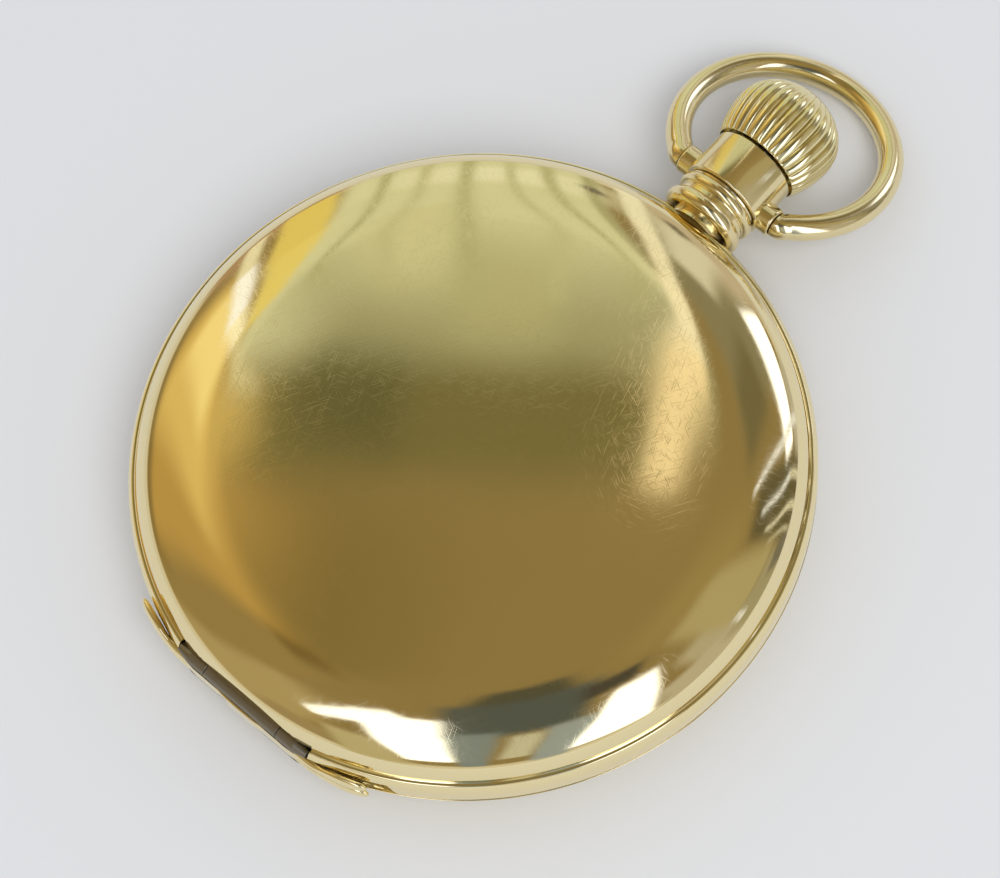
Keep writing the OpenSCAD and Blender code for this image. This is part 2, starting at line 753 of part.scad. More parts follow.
module thrust_collar() {
    color("#b59a50") at_mid() difference() {
        union() {
            rod_x(collar_r, collar_x, flange_x + eps);
            rod_x(flange_r, flange_x, flange_x + flange_t);
        }
        rod_x(stem_r + 0.04, collar_x - 1, flange_x + 2);
    }
}

// Inner dust cover: it follows the inside of the back cover at a constant distance
module inner_cover() {
    skin = 0.35;
    gap = cover_wall + under_cover;
    outer = concat([[0, mid_h - gap]], dome_points(rest_r, gap), [[skirt_out_r, inner_edge_h]]);
    inner = concat([[0, mid_h - gap - skin]], dome_points(rest_r, gap + skin),
        [[skirt_r, inner_edge_h - 0.07]]);
    half = inner_hinge_l / 2;
    clear_r = inner_knuckle_r + 0.06;
    color("#d2bd66") at_mid() difference() {
        union() {
            difference() {
                mirror([0, 0, 1]) rotate_extrude($fn = 128) polygon(concat(outer,
                    [[skirt_out_r, skirt_z], [skirt_r, skirt_z]], backwards(inner)));
                translate([-case_r, -half - 0.1, inner_hinge_z - clear_r])
                    cube([case_r - bore_r + 0.5, 2 * half + 0.2, 3]);
            }
            rod_y(inner_knuckle_r, -inner_hinge_x, inner_hinge_z,
                -inner_knuckle_l / 2 + slack, inner_knuckle_l / 2 - slack);
            intersection() {
                translate([-inner_hinge_x - 0.2, -inner_knuckle_l / 2 + slack, inner_hinge_z - 0.6])
                    cube([0.4, inner_knuckle_l - 2 * slack, 0.6]);
                cylinder(r = skirt_out_r, h = 3 * case_t, center = true);
            }
        }
        rod_y(inner_pin_r + pin_fit, -inner_hinge_x, inner_hinge_z, -half, half);
        disc([skirt_out_r + 0.2, 0], 0.9, -step_z - 1.1, 0);
    }
}

module front_hinge_pin() {
    color("#8d9096") at_mid() rod_y(pin_r, -hinge_x, hinge_z, -pin_l, pin_l);
}

module back_hinge_pin() {
    color("#8d9096") at_mid() rod_y(pin_r, -hinge_x, -hinge_z, -pin_l, pin_l);
}

module inner_hinge_pin() {
    color("#8d9096") at_mid() rod_y(inner_pin_r, -inner_hinge_x, inner_hinge_z,
        -inner_hinge_l / 2, inner_hinge_l / 2 - 0.5);
}

module bezel() {
    d = cover_wall + under_cover;
    a0 = shoulder_angle(0, d, skirt_out_r);
    a1 = shoulder_angle(0, d, glass_r + 0.2);
    top = shoulder_points(0, d, a0, a1);
    color("#dcc672") at_mid() difference() {
        rotate_extrude($fn = 128) polygon(concat([[skirt_r, skirt_z], [skirt_out_r, skirt_z],
            [skirt_out_r, shoulder_height(0, d, skirt_out_r)]], top,
            [[glass_r + slack, glass_seat_z], [opening_r, glass_seat_z],
             [opening_r, glass_seat_z - 0.5], [dial_d / 2 + 0.1, dial_top + 0.1],
             [dial_d / 2 + 0.1, neck_top_z + slack],
             [skirt_r, neck_top_z + slack]]));
        // Slots for the catch and for the finger of the lift spring
        slab(0, step_z + 0.6) {
            sector(skirt_r - 0.2, skirt_out_r + 1, -slot_half, slot_half);
            sector(skirt_r - 0.2, skirt_out_r + 1, lift_tip - 3, lift_tip + 4);
        }
    }
}

module crystal() {
    bottom = glass_seat_z + 0.02;
    n = 10;
    a1 = asin(glass_r / glass_ball);
    a2 = asin((glass_r - 0.5) / (glass_ball - glass_t));
    ball_z = bottom + glass_t + glass_rise - glass_ball;
    top = [for (i = [0:n]) [0, ball_z] + glass_ball * [sin(a1 * i / n), cos(a1 * i / n)]];
    low = [for (i = [0:n]) [0, ball_z] + (glass_ball - glass_t) * [sin(a2 * i / n), cos(a2 * i / n)]];
    color("#dfe8ea") at_mid() rotate_extrude($fn = 128) polygon(concat(top,
        [[glass_r, bottom], [glass_r - 0.5, bottom]], backwards(low)));
}

// Leaf spring bent to the band, with its root held at angle root and its end at angle tip
module case_spring(root, tip) {
    s = root < tip ? 1 : -1;
    slab(-spring_h / 2, spring_h / 2) {
        sector(spring_mid_r - spring_leaf / 2, spring_mid_r + spring_leaf / 2,
            root - 1.6 * s, tip);
        translate(polar(spring_mid_r, root - spring_eye_turn * s)) difference() {
            circle(r = spring_eye_r);
            circle(r = spring_eye_r / 2);
        }
    }
}

module lock_spring() {
    color("#9fa3a8") at_mid() difference() {
        union() {
            case_spring(lock_root, nose_half);
            slab(eye_r, spring_h / 2)
                sector(finger_r0, spring_mid_r, -nose_half, nose_half);
            slab(spring_h / 2 - eps, step_z + 0.42)
                sector(finger_r0, skirt_out_r - slack, -nose_half, nose_half);
            slab(skirt_z + 0.12, step_z + 0.42)
                sector(finger_r0, cover_in_r - slack, -nose_half, nose_half);
        }
        for (y = [0, -eye_l]) translate([0, y, 0]) rod_x(eye_r, channel_r - 2, channel_r + 1);
        translate([channel_r - 2, -eye_l, -eye_r]) cube([3, eye_l, 2 * eye_r]);
    }
}

module lift_spring() {
    color("#9fa3a8") at_mid() {
        case_spring(lift_root, lift_tip);
        slab(spring_h / 2 - eps, step_z + 0.25)
            sector(finger_r0, skirt_out_r - slack, lift_tip - finger_w, lift_tip);
        slab(-spring_h / 2, spring_h / 2)
            sector(finger_r0, spring_mid_r, lift_tip - finger_w, lift_tip);
    }
}

module spring_screws() {
    color("#7f858c") at_mid() for (p = spring_pins) disc(p, 0.27, -half_band + 0.15,
        half_band - 0.25);
}

module case_screws() {
    color("#5d6f8c") at_mid() for (a = case_screw_turns)
        screw(polar(case_screw_r, a), plate_low, 0.9);
}

module main_plate() {
    color("#c9c3ad") at_mid() difference() {
        union() {
            disc([0, 0], plate_r, ledge_z + snug, plate_top);
            disc([0, 0], ledge_r - slack, plate_low, ledge_z + 2 * snug);
        }
        // Dial side recess for the motion work and the setting parts
        disc(centre_p, 4.4, recess_z, plate_top + 1);
        disc(minute_p, 4.1, recess_z, plate_top + 1);
        disc(setting_p, 2.3, recess_z, plate_top + 1);
        slab(recess_z, plate_top + 1) translate([13, -5.6]) square([3.2, 5.6]);
        // Pit for the centre wheel on the bridge side
        disc(centre_p, centre_n * centre_m / 2 + 0.4, plate_low - 1, centre_z + slack);
        disc(third_p, 1.2, plate_low - 1, third_top);
        disc(third_p, jewel_r + snug, third_top - eps, third_top + jewel_t + snug);
        disc(third_p, 0.25, third_top, plate_top + 1);
        // Window for the winding pieces
        slab(plate_low - 1, plate_top + 1) translate([square_x0 - slack, -1.6])
            square([wind_x1 + 2 * slack - square_x0, 3.2]);
        rod_x(arbor_r + bearing_fit, wind_x1 - 1, plate_r + 1);
        rod_x(0.4 + bearing_fit, square_x0 - 1, square_x0 + 1);
        // Bearings
        disc(centre_p, 0.6 + bearing_fit, plate_low - 1, plate_top + 1);
        disc(barrel_p, barrel_arbor_r + bearing_fit, plate_low - 1, plate_low + 1.2);
        for (p = [fourth_p, escape_p, fork_p, balance_p]) {
            disc(p, jewel_r + snug, plate_low - eps, plate_low + jewel_t + snug);
            disc(p, 0.25, plate_low, plate_top + 1);
        }
        disc(setting_lever_p, 0.45 + bearing_fit, plate_low, plate_top + 1);
        // Screw holes and dial feet
        for (p = concat(barrel_screws, train_screws, [cock_foot_p]))
            disc(p, screw_r + bearing_fit, plate_low - 1, plate_low + 1.3);
        for (p = fork_feet) disc(p, small_screw_r + bearing_fit, plate_low - 1, plate_low + 1.3);
        for (a = case_screw_turns) disc(polar(case_screw_r, a), screw_r + bearing_fit,
            plate_low - 1, plate_low + 1);
        for (p = dial_feet) disc(p, foot_pin_r + slack, 0, plate_top + 1);
    }
}

// Turned-away edge of the bridges, and the way to the case screws
module bridge_edge() {
    ring(bridge_edge_r, bridge_r + 1, bridge_low - 1, bridge_edge_z);
    for (a = case_screw_turns) disc(polar(case_screw_r, a), screw_head_r + 0.2,
        bridge_low - 1, plate_low);
}

module barrel_bridge() {
    color("#cfc9b4") at_mid() difference() {
        union() {
            slab(bridge_low, bridge_z) intersection() {
                circle(r = bridge_r);
                polygon([[-11, 25], [-6.2, 8.4], [-3.2, 4.4], [-2.6, -2.2], [6.5, -2.2],
                    [11, -5], [25, -5], [25, 25]]);
            }
            slab(bridge_z - eps, plate_low) {
                sector(bridge_r - 1.45, bridge_r - 0.1, 18, 112);
                for (p = barrel_screws) translate(p) circle(r = screw_boss_r);
            }
        }
        bridge_edge();
        disc(balance_p, balance_room_r, bridge_low - 1, plate_low);
        disc(cock_foot_p, 3.1, bridge_low - 1, plate_low);
        disc(barrel_p, ratchet_n * wind_m / 2 + 0.45, bridge_low - 1, wheel_pit_z);
        disc(crown_wheel_p, crown_n * wind_m / 2 + 0.45, bridge_low - 1, wheel_pit_z);
        disc(barrel_p, barrel_arbor_r + bearing_fit, bridge_low - 1, bridge_z + 1);
        disc(crown_wheel_p, crown_arbor_r + bearing_fit, bridge_low - 1, bridge_z + 1);
        disc(centre_p, jewel_r + 0.2 + snug, bridge_z - jewel_t - snug, bridge_z + 1);
        disc(centre_p, 0.35, bridge_low - 1, bridge_z);
        disc(click_p, 0.45 + bearing_fit, bridge_low - 1, bridge_z + eps);
        slab(bridge_low - 1, wheel_pit_z) translate(click_p) rotate(click_turn)
            translate([-1.4, -1.5]) square([4.8, 3]);
        for (p = barrel_screws) {
            disc(p, screw_r + bearing_fit, bridge_low - 1, plate_low + 1);
            disc(p, screw_head_r + slack, bridge_low - 1, bridge_low + screw_head_t);
        }
    }
}

module train_bridge() {
    color("#cfc9b4") at_mid() difference() {
        union() {
            slab(bridge_low, bridge_z) intersection() {
                circle(r = bridge_r);
                polygon([[-12.5, -25], [-8.2, -12], [-7.2, -9.2], [-3, -6], [0, -2.8], [6.3, -2.8],
                    [11, -5.6], [25, -5.6], [25, -25]]);
            }
            slab(bridge_z - eps, plate_low) {
                sector(bridge_r - 2.6, bridge_r - 0.1, 233, 320);
            }
        }
        bridge_edge();
        disc(balance_p, balance_room_r, bridge_low - 1, plate_low);
        for (p = train_pivots) {
            disc(p, jewel_r + snug, bridge_z - jewel_t - snug, bridge_z + eps);
            disc(p, 0.2, bridge_low - 1, bridge_z);
        }
        for (p = train_screws) {
            disc(p, screw_r + bearing_fit, bridge_low - 1, plate_low + 1);
            disc(p, screw_head_r + slack, bridge_low - 1, bridge_low + screw_head_t);
        }
    }
}

module balance_cock() {
    v = cock_foot_p - balance_p;
    color("#cfc9b4") at_mid() difference() {
        union() {
            disc(cock_foot_p, 2.7, cock_z - cock_t, plate_low);
            slab(cock_z - cock_t, cock_z) {
                translate(balance_p) circle(r = 2.6);
                translate(balance_p) rotate(bearing_of(v)) translate([0, -1.7])
                    square([norm(v), 3.4]);
            }
        }
        disc(balance_p, jewel_r + snug, cock_z - jewel_t - snug, cock_z + eps);
        disc(balance_p, 0.3, cock_z - cock_t - 1, cock_z);
        disc(cock_foot_p, screw_r + bearing_fit, cock_z - cock_t - 1, plate_low + 1);
        disc(cock_foot_p, screw_head_r + slack, cock_z - cock_t - 1, cock_z - cock_t + screw_head_t);
        disc(stud_p, 0.25 + snug, cock_z - cock_t - 1, cock_z + 1);
    }
}

module pallet_cock() {
    color("#cfc9b4") at_mid() difference() {
        union() {
            slab(escape_z - 0.95, escape_z - 0.45) {
                translate(fork_p) circle(r = 1.1);
                translate(fork_p) rotate(lever_turn + 90) translate([-fork_foot_d, -0.7])
                    square([2 * fork_foot_d, 1.4]);
            }
            for (p = fork_feet) disc(p, fork_foot_r, escape_z - 0.95, plate_low);
        }
        disc(fork_p, 0.45 + snug, escape_z - 0.75 - snug, escape_z);
        disc(fork_p, 0.2, escape_z - 1, escape_z);
        for (p = fork_feet) disc(p, small_screw_r + bearing_fit, escape_z - 1, plate_low + 1);
    }
}

module bridge_screws() {
    color("#5d6f8c") at_mid() {
        for (p = concat(barrel_screws, train_screws)) screw(p, bridge_low + screw_head_t - snug,
            plate_low - bridge_low - screw_head_t + 1.2);
        screw(cock_foot_p, cock_z - cock_t + screw_head_t - snug,
            plate_low - cock_z + cock_t - screw_head_t + 1.2);
        for (p = fork_feet) screw(p, escape_z - 0.95 - snug, plate_low - escape_z + 0.95 + 1.1,
            small_head_r, small_screw_r);
    }
}

// Ring of a jewel with a bore for a pivot of radius r
module jewel(p, r, z0, z1, out) {
    translate([p[0], p[1], 0]) ring(r + bearing_fit, out, z0, z1);
}

module jewels() {
    color("#b0304a") at_mid() {
        for (p = [escape_p, fork_p, balance_p])
            jewel(p, pivot_r, plate_low, plate_low + jewel_t, jewel_r);
        jewel(third_p, pivot_r, third_top, third_top + jewel_t, jewel_r);
        jewel(fourth_p, 0.15, plate_low, plate_low + jewel_t, jewel_r);
        for (p = train_pivots) jewel(p, pivot_r, bridge_z - jewel_t, bridge_z, jewel_r);
        jewel(centre_p, 0.25, bridge_z - jewel_t, bridge_z, jewel_r + 0.2);
        jewel(fork_p, pivot_r, escape_z - 0.75, escape_z - 0.45, 0.45);
        jewel(balance_p, pivot_r, cock_z - jewel_t, cock_z, jewel_r);
    }
}

// Barrel: a closed drum with teeth round its dial side
module barrel() {
    drum = barrel_n * barrel_m / 2 - 0.6;
    color("#d4bb5e") at_mid() difference() {
        union() {
            gear(barrel_n, barrel_m, barrel_turn + 180, barrel_p, barrel_z - barrel_tooth_t,
                barrel_z, 1);
            disc(barrel_p, drum, barrel_low, barrel_z - eps);
        }
        disc(barrel_p, drum - 0.35, barrel_low + 0.2, barrel_z - 0.2);
        disc(barrel_p, barrel_arbor_r + bearing_fit, barrel_low - 1, barrel_z + 1);
    }
}

// Spiral ribbon from radius r0 to r1 with t turns, drawn flat
function spiral(r0, r1, t, n) = [for (i = [0:n]) polar(r0 + (r1 - r0) * i / n, 360 * t * i / n)];
module ribbon(r0, r1, t, w, steps) {
    n = t * steps;
    polygon(concat(spiral(r0, r1, t, n), backwards(spiral(r0 + w, r1 + w, t, n))));
}

module mainspring() {
    drum_in = barrel_n * barrel_m / 2 - 0.95;
    color("#7d8fa6") at_mid() translate([barrel_p[0], barrel_p[1], 0])
        slab(barrel_low + 0.25, barrel_z - 0.25)
            ribbon(drum_in * 0.45, drum_in - 0.35, mainspring_turns, 0.2, 12);
}

module barrel_arbor() {
    top = barrel_z + 0.75;
    color("#a4a7ab") at_mid() {
        disc(barrel_p, barrel_arbor_r, crown_wheel_z, top);
        disc(barrel_p, 1.9, barrel_low + 0.25, barrel_z - 0.25);
        translate([barrel_p[0] - 0.5, barrel_p[1] - 0.5, crown_wheel_z - ratchet_t])
            cube([1, 1, ratchet_t + slack + eps]);
    }
}

module centre_wheel() {
    to_third = bearing_of(third_p);
    color("#d9c277") at_mid() {
        wheel(centre_n, centre_m, to_third, centre_p, centre_z - 0.3, centre_z, 0.3, 4, 1.1);
        pinion(centre_leaf, barrel_m, barrel_turn, centre_p, barrel_z - barrel_tooth_t - 0.1,
            centre_z - 0.25, 0.3);
        disc(centre_p, 0.6, centre_z - eps, recess_z - 0.1);
        disc(centre_p, centre_arbor_r, bridge_z + slack, minute_hand_z + hand_t + 0.1);
        disc(centre_p, 0.25, bridge_z - 0.25, bridge_z + slack + eps);
    }
}

module third_wheel() {
    color("#d9c277") at_mid() {
        wheel(third_n, third_m, bearing_of(fourth_p - third_p), third_p,
            third_z - wheel_t, third_z, 0.3, 4, 0.9);
        pinion(third_leaf, centre_m, bearing_of(centre_p - third_p), third_p,
            centre_z - 0.4, centre_z, 0.3);
        disc(third_p, 0.45, third_z - eps, centre_z - 0.35);
        arbor(third_p, third_top, bridge_z);
    }
}

module fourth_wheel() {
    color("#d9c277") at_mid() {
        wheel(fourth_n, fourth_m, bearing_of(escape_p - fourth_p), fourth_p,
            fourth_z - wheel_t, fourth_z, 0.3, 4, 0.9);
        pinion(fourth_leaf, third_m, bearing_of(third_p - fourth_p), fourth_p,
            third_z - wheel_t - 0.1, third_z + 0.1, 0.3);
        arbor(fourth_p, plate_low, bridge_z);
        disc(fourth_p, 0.15, plate_low - slack - eps, seconds_z + hand_t);
    }
}

// Club tooth of the escape wheel, drawn flat and centred on angle a
function club(a) = [polar(escape_r * 0.76, a - 7), polar(escape_r * 0.86, a - 1.8),
    polar(escape_r, a - 1.4), polar(escape_r, a + 1.4), polar(escape_r * 0.76, a + 5)];

module escape_wheel() {
    color("#d0c8a4") at_mid() {
        translate([escape_p[0], escape_p[1], 0]) slab(escape_z - fork_t, escape_z) difference() {
            polygon([for (i = [0:escape_n - 1]) each club(lever_turn + 360 * i / escape_n)]);
            circle(r = 0.3);
            for (i = [0:3]) polygon(concat(arc([0, 0], escape_r * 0.66, 90 * i + 10, 90 * i + 80, 8),
                arc([0, 0], 0.85, 90 * i + 68, 90 * i + 22, 6)));
        }
        pinion(escape_leaf, fourth_m, bearing_of(fourth_p - escape_p), escape_p,
            fourth_z - wheel_t - 0.1, fourth_z + 0.1, 0.3);
        arbor(escape_p, plate_low, bridge_z);
    }
}

// Stone of the pallet fork: side 1 or -1 of the line between the escape wheel and the balance
module stone_place(side) {
    translate([escape_p[0], escape_p[1], 0]) rotate(lever_turn + 30 * side)
        translate([escape_r + 0.12, 0, 0]) children();
}

module pallet_stones() {
    color("#c23550") at_mid() for (s = [-1, 1]) stone_place(s)
        translate([0, -0.16, escape_z - fork_t - 0.02]) cube([stone_l, 0.32, fork_t + 0.04]);
}

module pallet_fork() {
    slot = 0.17;
    color("#b7b9bd") at_mid() difference() {
        union() {
            slab(escape_z - fork_t, escape_z) {
                translate(fork_p) rotate(lever_turn) {
                    circle(r = 0.6);
                    translate([0, -0.2]) square([fork_l - 1.45, 0.4]);
                    translate([fork_l - 1.75, -0.42]) square([0.55, 0.84]);
                    for (s = [-1, 1]) rotate(s * fork_arm) translate([0, -0.22]) square([2.55, 0.44]);
                }
                for (s = [-1, 1]) translate(escape_p) rotate(lever_turn + 30 * s)
                    translate([escape_r + 0.5, -0.36]) square([stone_l - 0.23, 0.72]);
            }
            disc(fork_p, 0.25, escape_z - 0.4, plate_low - slack);
            disc(fork_p, pivot_r, escape_z - 0.7, plate_low + 0.25);
        }
        translate([fork_p[0], fork_p[1], 0]) rotate(lever_turn)
            translate([fork_l - 1.5, -slot, escape_z - 1]) cube([1, 2 * slot, 2]);
        for (s = [-1, 1]) stone_place(s)
            translate([-0.5, -0.16 - snug, escape_z - 1]) cube([0.5 + stone_l + snug, 0.32 + 2 * snug, 2]);
    }
}

module balance_wheel() {
    rim = 0.75;
    arm_t = 0.2;
    screws = 16;
    color("#cfa94f") at_mid() translate([balance_p[0], balance_p[1], 0]) {
        difference() {
            union() {
                ring(balance_r - rim, balance_r, balance_z - balance_h, balance_z);
                slab(balance_z - arm_t - 0.1, balance_z - 0.1) {
                    circle(r = 1);
                    translate([rim / 2 - balance_r, -0.45]) square([2 * balance_r - rim, 0.9]);
                }
            }
            cylinder(r = 0.3 + snug, h = case_t, center = true);
        }
        for (i = [0:screws - 1]) rotate(360 * (i + 0.5) / screws)
            translate([balance_r - 0.1, 0, balance_z - balance_h / 2]) rotate([0, 90, 0])
                cylinder(r = 0.2, h = 0.45);
    }
}

module balance_staff() {
    color("#a9acb0") at_mid() {
        disc(balance_p, 0.3, cock_z + slack, plate_low - slack);
        disc(balance_p, pivot_r, cock_z - 0.25, plate_low + 0.25);
        disc(balance_p, 0.55, balance_z + 0.02, roller_z + 0.05);
        disc(balance_p, 1.5, roller_z - 0.2, roller_z);
        disc(roller_pin_p, 0.12, roller_z - eps, escape_z + 0.05);
        disc(balance_p, 0.55, hairspring_z - 0.18, balance_z - 0.3 - 0.02);
    }
}

module hairspring() {
    color("#4d6a9a") at_mid() {
        slab(hairspring_z - hairspring_h, hairspring_z) translate(balance_p) rotate(stud_turn)
            ribbon(hairspring_r0, hairspring_r1, hairspring_turns, 0.08, 16);
        disc(stud_p, 0.2, cock_z - 0.2, hairspring_z);
    }
}

module regulator() {
    z1 = cock_z - cock_t - 0.02;
    z0 = z1 - 0.16;
    color("#b9bcc0") at_mid() translate([balance_p[0], balance_p[1], 0]) {
        ring(1.1, 1.7, z0, z1);
        slab(z0, z1) rotate(stud_turn + 180) {
            translate([1.6, -0.2]) square([3.6, 0.4]);
            translate([-4.4, -0.25]) square([2.9, 0.5]);
        }
    }
}

module winding_arbor() {
    color("#a4a7ab") at_mid() difference() {
        union() {
            rod_x(0.4, square_x0 - 0.6, square_x0 + eps);
            bar_x(arbor_square, square_x0, wind_x0 + eps);
            rod_x(arbor_r, wind_x0, arbor_x1);
        }
        bar_x(stem_hole, hole_x0, arbor_x1 + 1);
    }
}

// Pinion along X round the winding axis, with n leaves, the first of them at angle a
module leaves_x(n, root, tip, x0, x1, a) {
    pts = [for (i = [0:n - 1]) let (b = a + i * 360 / n, p = 360 / n)
        each [polar(root, b - 0.22 * p), polar(tip, b - 0.1 * p),
            polar(tip, b + 0.1 * p), polar(root, b + 0.22 * p)]];
    translate([x0, 0, 0]) rotate([0, 90, 0]) linear_extrude(height = x1 - x0) polygon(pts);
}

module winding_pinion() {
    color("#a9acb0") at_mid() difference() {
        leaves_x(wind_leaf, wind_root_r, wind_tip_r, wind_x0, wind_x1, 0);
        rod_x(arbor_r + snug, wind_x0 - 1, wind_x1 + 1);
    }
}

module sliding_pinion() {
    color("#a9acb0") at_mid() difference() {
        union() {
            rod_x(slide_r, slide_x0, groove_x);
            rod_x(groove_r, slide_x0, slide_x1);
            rod_x(slide_r, groove_x + groove_w, slide_x1);
        }
        bar_x(arbor_square + 0.06, slide_x0 - 1, slide_x1 + 1);
        for (i = [0:11]) rotate([30 * i, 0, 0]) translate([slide_x0 - 0.5, -0.14, 1])
            cube([0.8, 0.28, 1]);
    }
}

// Bevel wheel under the bridge, turned by the winding pinion
module bevel_wheel() {
    color("#a9acb0") at_mid() translate([crown_wheel_p[0], crown_wheel_p[1], 0]) {
        ring(1.6, face_r + 0.33, bevel_low, bevel_z);
        disc([0, 0], 1.65, bevel_low, bevel_z);
        disc([0, 0], crown_arbor_r, crown_wheel_z, bevel_low + eps);
        translate([-0.6, -0.6, crown_wheel_z - ratchet_t])
            cube([1.2, 1.2, ratchet_t + eps]);
        for (i = [0:crown_n - 1]) rotate(360 * (i + 0.5) / crown_n)
            translate([face_r - 0.33, -0.11, bevel_z - eps]) cube([0.66, 0.22, 0.6 + eps]);
    }
}

module crown_wheel() {
    a = bearing_of(barrel_p - crown_wheel_p);
    color("#b4b7bb") at_mid() difference() {
        gear(crown_n, wind_m, a, crown_wheel_p, crown_wheel_z - ratchet_t, crown_wheel_z, 0.2);
        translate([crown_wheel_p[0] - 0.6 - snug, crown_wheel_p[1] - 0.6 - snug, bridge_low - 1])
            cube([1.2 + 2 * snug, 1.2 + 2 * snug, 3]);
    }
}

module ratchet_wheel() {
    a = bearing_of(crown_wheel_p - barrel_p) + 180 / ratchet_n;
    color("#b4b7bb") at_mid() difference() {
        gear(ratchet_n, wind_m, a, barrel_p, crown_wheel_z - ratchet_t, crown_wheel_z, 0.2);
        translate([barrel_p[0] - 0.5 - snug, barrel_p[1] - 0.5 - snug, bridge_low - 1])
            cube([1 + 2 * snug, 1 + 2 * snug, 3]);
    }
}

// The click sits beside the ratchet wheel, on the side away from the crown wheel
module click() {
    tip = ratchet_n * wind_m / 2 + 0.8 * wind_m + 0.05;
    color("#9da1a6") at_mid() difference() {
        translate([click_p[0], click_p[1], 0]) {
            slab(crown_wheel_z - ratchet_t, crown_wheel_z) {
                circle(r = 0.8);
                rotate(click_turn) translate([0, -0.55]) square([2.3, 1.1]);
            }
            disc([0, 0], 0.45, crown_wheel_z - eps, bridge_z - slack);
        }
        disc(barrel_p, tip, bridge_low - 1, bridge_z + 1);
    }
}

module click_spring() {
    color("#7d8fa6") at_mid() translate([click_p[0], click_p[1], 0])
        slab(crown_wheel_z - ratchet_t, crown_wheel_z - 0.02) rotate(click_turn)
            translate([0.2, 1.05]) square([3, 0.25]);
}

module setting_lever() {
    p = setting_lever_p;
    v = [groove_x + groove_w / 2, -0.95] - p;
    z0 = recess_z + 0.05;
    z1 = plate_top - 0.1;
    color("#a9acb0") at_mid() {
        slab(z0, z1) {
            translate(p) circle(r = 0.9);
            translate(p) rotate(bearing_of(v)) translate([0, -0.16]) square([norm(v), 0.32]);
        }
        disc(p, 0.45, plate_low + 0.3, z0 + eps);
    }
}

module setting_wheel() {
    color("#b4b7bb") at_mid() gear(setting_n, motion_m, 180, setting_p, recess_z + 0.08,
        recess_z + 0.36, 0.3);
}

module cannon_pinion() {
    color("#a9acb0") at_mid() difference() {
        union() {
            gear(cannon_n, motion_m, 0, centre_p, recess_z + 0.08, recess_z + 0.4, 0.3);
            disc(centre_p, cannon_r, recess_z + 0.3, minute_hand_z);
        }
        disc(centre_p, centre_arbor_r + snug, 0, minute_hand_z + 1);
    }
}

module minute_wheel() {
    color("#cdb86c") at_mid() {
        gear(minute_n, motion_m, 180 + 180 / minute_n, minute_p, recess_z + 0.08,
            recess_z + 0.32, 0.2);
        pinion(minute_leaf, hour_m, 180, minute_p, recess_z + 0.3, plate_top - 0.03, 0.2);
    }
}

module hour_wheel() {
    color("#cdb86c") at_mid() {
        gear(hour_n, hour_m, 0, centre_p, recess_z + 0.48, recess_z + 0.7, cannon_r + 0.05);
        ring(cannon_r + 0.05, hour_tube_r, recess_z + 0.48, hour_hand_z + hand_t);
    }
}

module dial() {
    color("#f4f2ea") at_mid() difference() {
        union() {
            disc([0, 0], dial_d / 2, dial_z, dial_top);
            for (p = dial_feet) disc(p, foot_pin_r, recess_z, dial_z + eps);
        }
        disc(centre_p, hour_tube_r + 0.1, 0, dial_top + 1);
        disc(fourth_p, 0.35, 0, dial_top + 1);
        disc(fourth_p, seconds_dial_r, dial_top - 0.12, dial_top + 1);
    }
}

// Minute and seconds marks as thin fired paint on the dial
module dial_marks() {
    z = dial_top + 0.002;
    color("#222222") at_mid() for (i = [0:59]) {
        half = i % 5 == 0 ? 0.12 : 0.05;
        rotate(6 * i) translate([mark_r, -half, z]) cube([i % 5 == 0 ? 1 : 0.7, 2 * half, paint_t]);
    }
}

// Spade hand from its hub to its tip along angle a
module hand(a, length, width, hub, bore, z) {
    slab(z, z + hand_t) rotate(a) difference() {
        union() {
            circle(r = hub);
            polygon([[0, -width / 2], [length * 0.62, -width / 3], [length * 0.7, -width * 1.1],
                [length * 0.82, -width / 3], [length, -0.06], [length, 0.06],
                [length * 0.82, width / 3], [length * 0.7, width * 1.1],
                [length * 0.62, width / 3], [0, width / 2]]);
        }
        circle(r = bore);
    }
}

module hour_hand() {
    color("#20305c") at_mid()
        hand(hour_turn, hour_l, 0.9, hour_tube_r + 0.35, hour_tube_r + snug, hour_hand_z);
}

module minute_hand() {
    color("#20305c") at_mid() hand(minute_turn, minute_l, 0.7, 0.85, centre_arbor_r + snug,
        minute_hand_z + 0.002);
}

module seconds_hand() {
    color("#20305c") at_mid() translate([fourth_p[0], fourth_p[1], seconds_z - 0.02])
        linear_extrude(height = hand_t) rotate(second_turn) difference() {
            union() {
                circle(r = 0.5);
                translate([-1.4, -0.08]) square([seconds_dial_r + 0.9, 0.16]);
            }
            circle(r = 0.15 + snug);
        }
}

case_band();
pendant();
pendant_sleeve();
bow();
crown();
stem();
thrust_collar();
front_cover();
back_cover();
inner_cover();
front_hinge_pin();
back_hinge_pin();
inner_hinge_pin();
bezel();
crystal();
lock_spring();
lift_spring();
spring_screws();
case_screws();
main_plate();
barrel_bridge();
train_bridge();
balance_cock();
pallet_cock();
bridge_screws();
jewels();
barrel();
mainspring();
barrel_arbor();
centre_wheel();
third_wheel();
fourth_wheel();
escape_wheel();
pallet_fork();
pallet_stones();
balance_wheel();
balance_staff();
hairspring();
regulator();
winding_arbor();
winding_pinion();
sliding_pinion();
bevel_wheel();
crown_wheel();
ratchet_wheel();
click();
click_spring();
setting_lever();
setting_wheel();
cannon_pinion();
minute_wheel();
hour_wheel();
dial();
dial_marks();
hour_hand();
minute_hand();
seconds_hand();
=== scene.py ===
"""Full hunter pocket watch in polished gold, closed, lying on its back on a pale table.

Metres. +Z is up, +X runs out through the crown, +Y points at 12 o'clock, and the watch stands at z = 0.
The tools are in the sidebar of the 3D view, under Watch. main() runs them in order.
"""

import json
import math

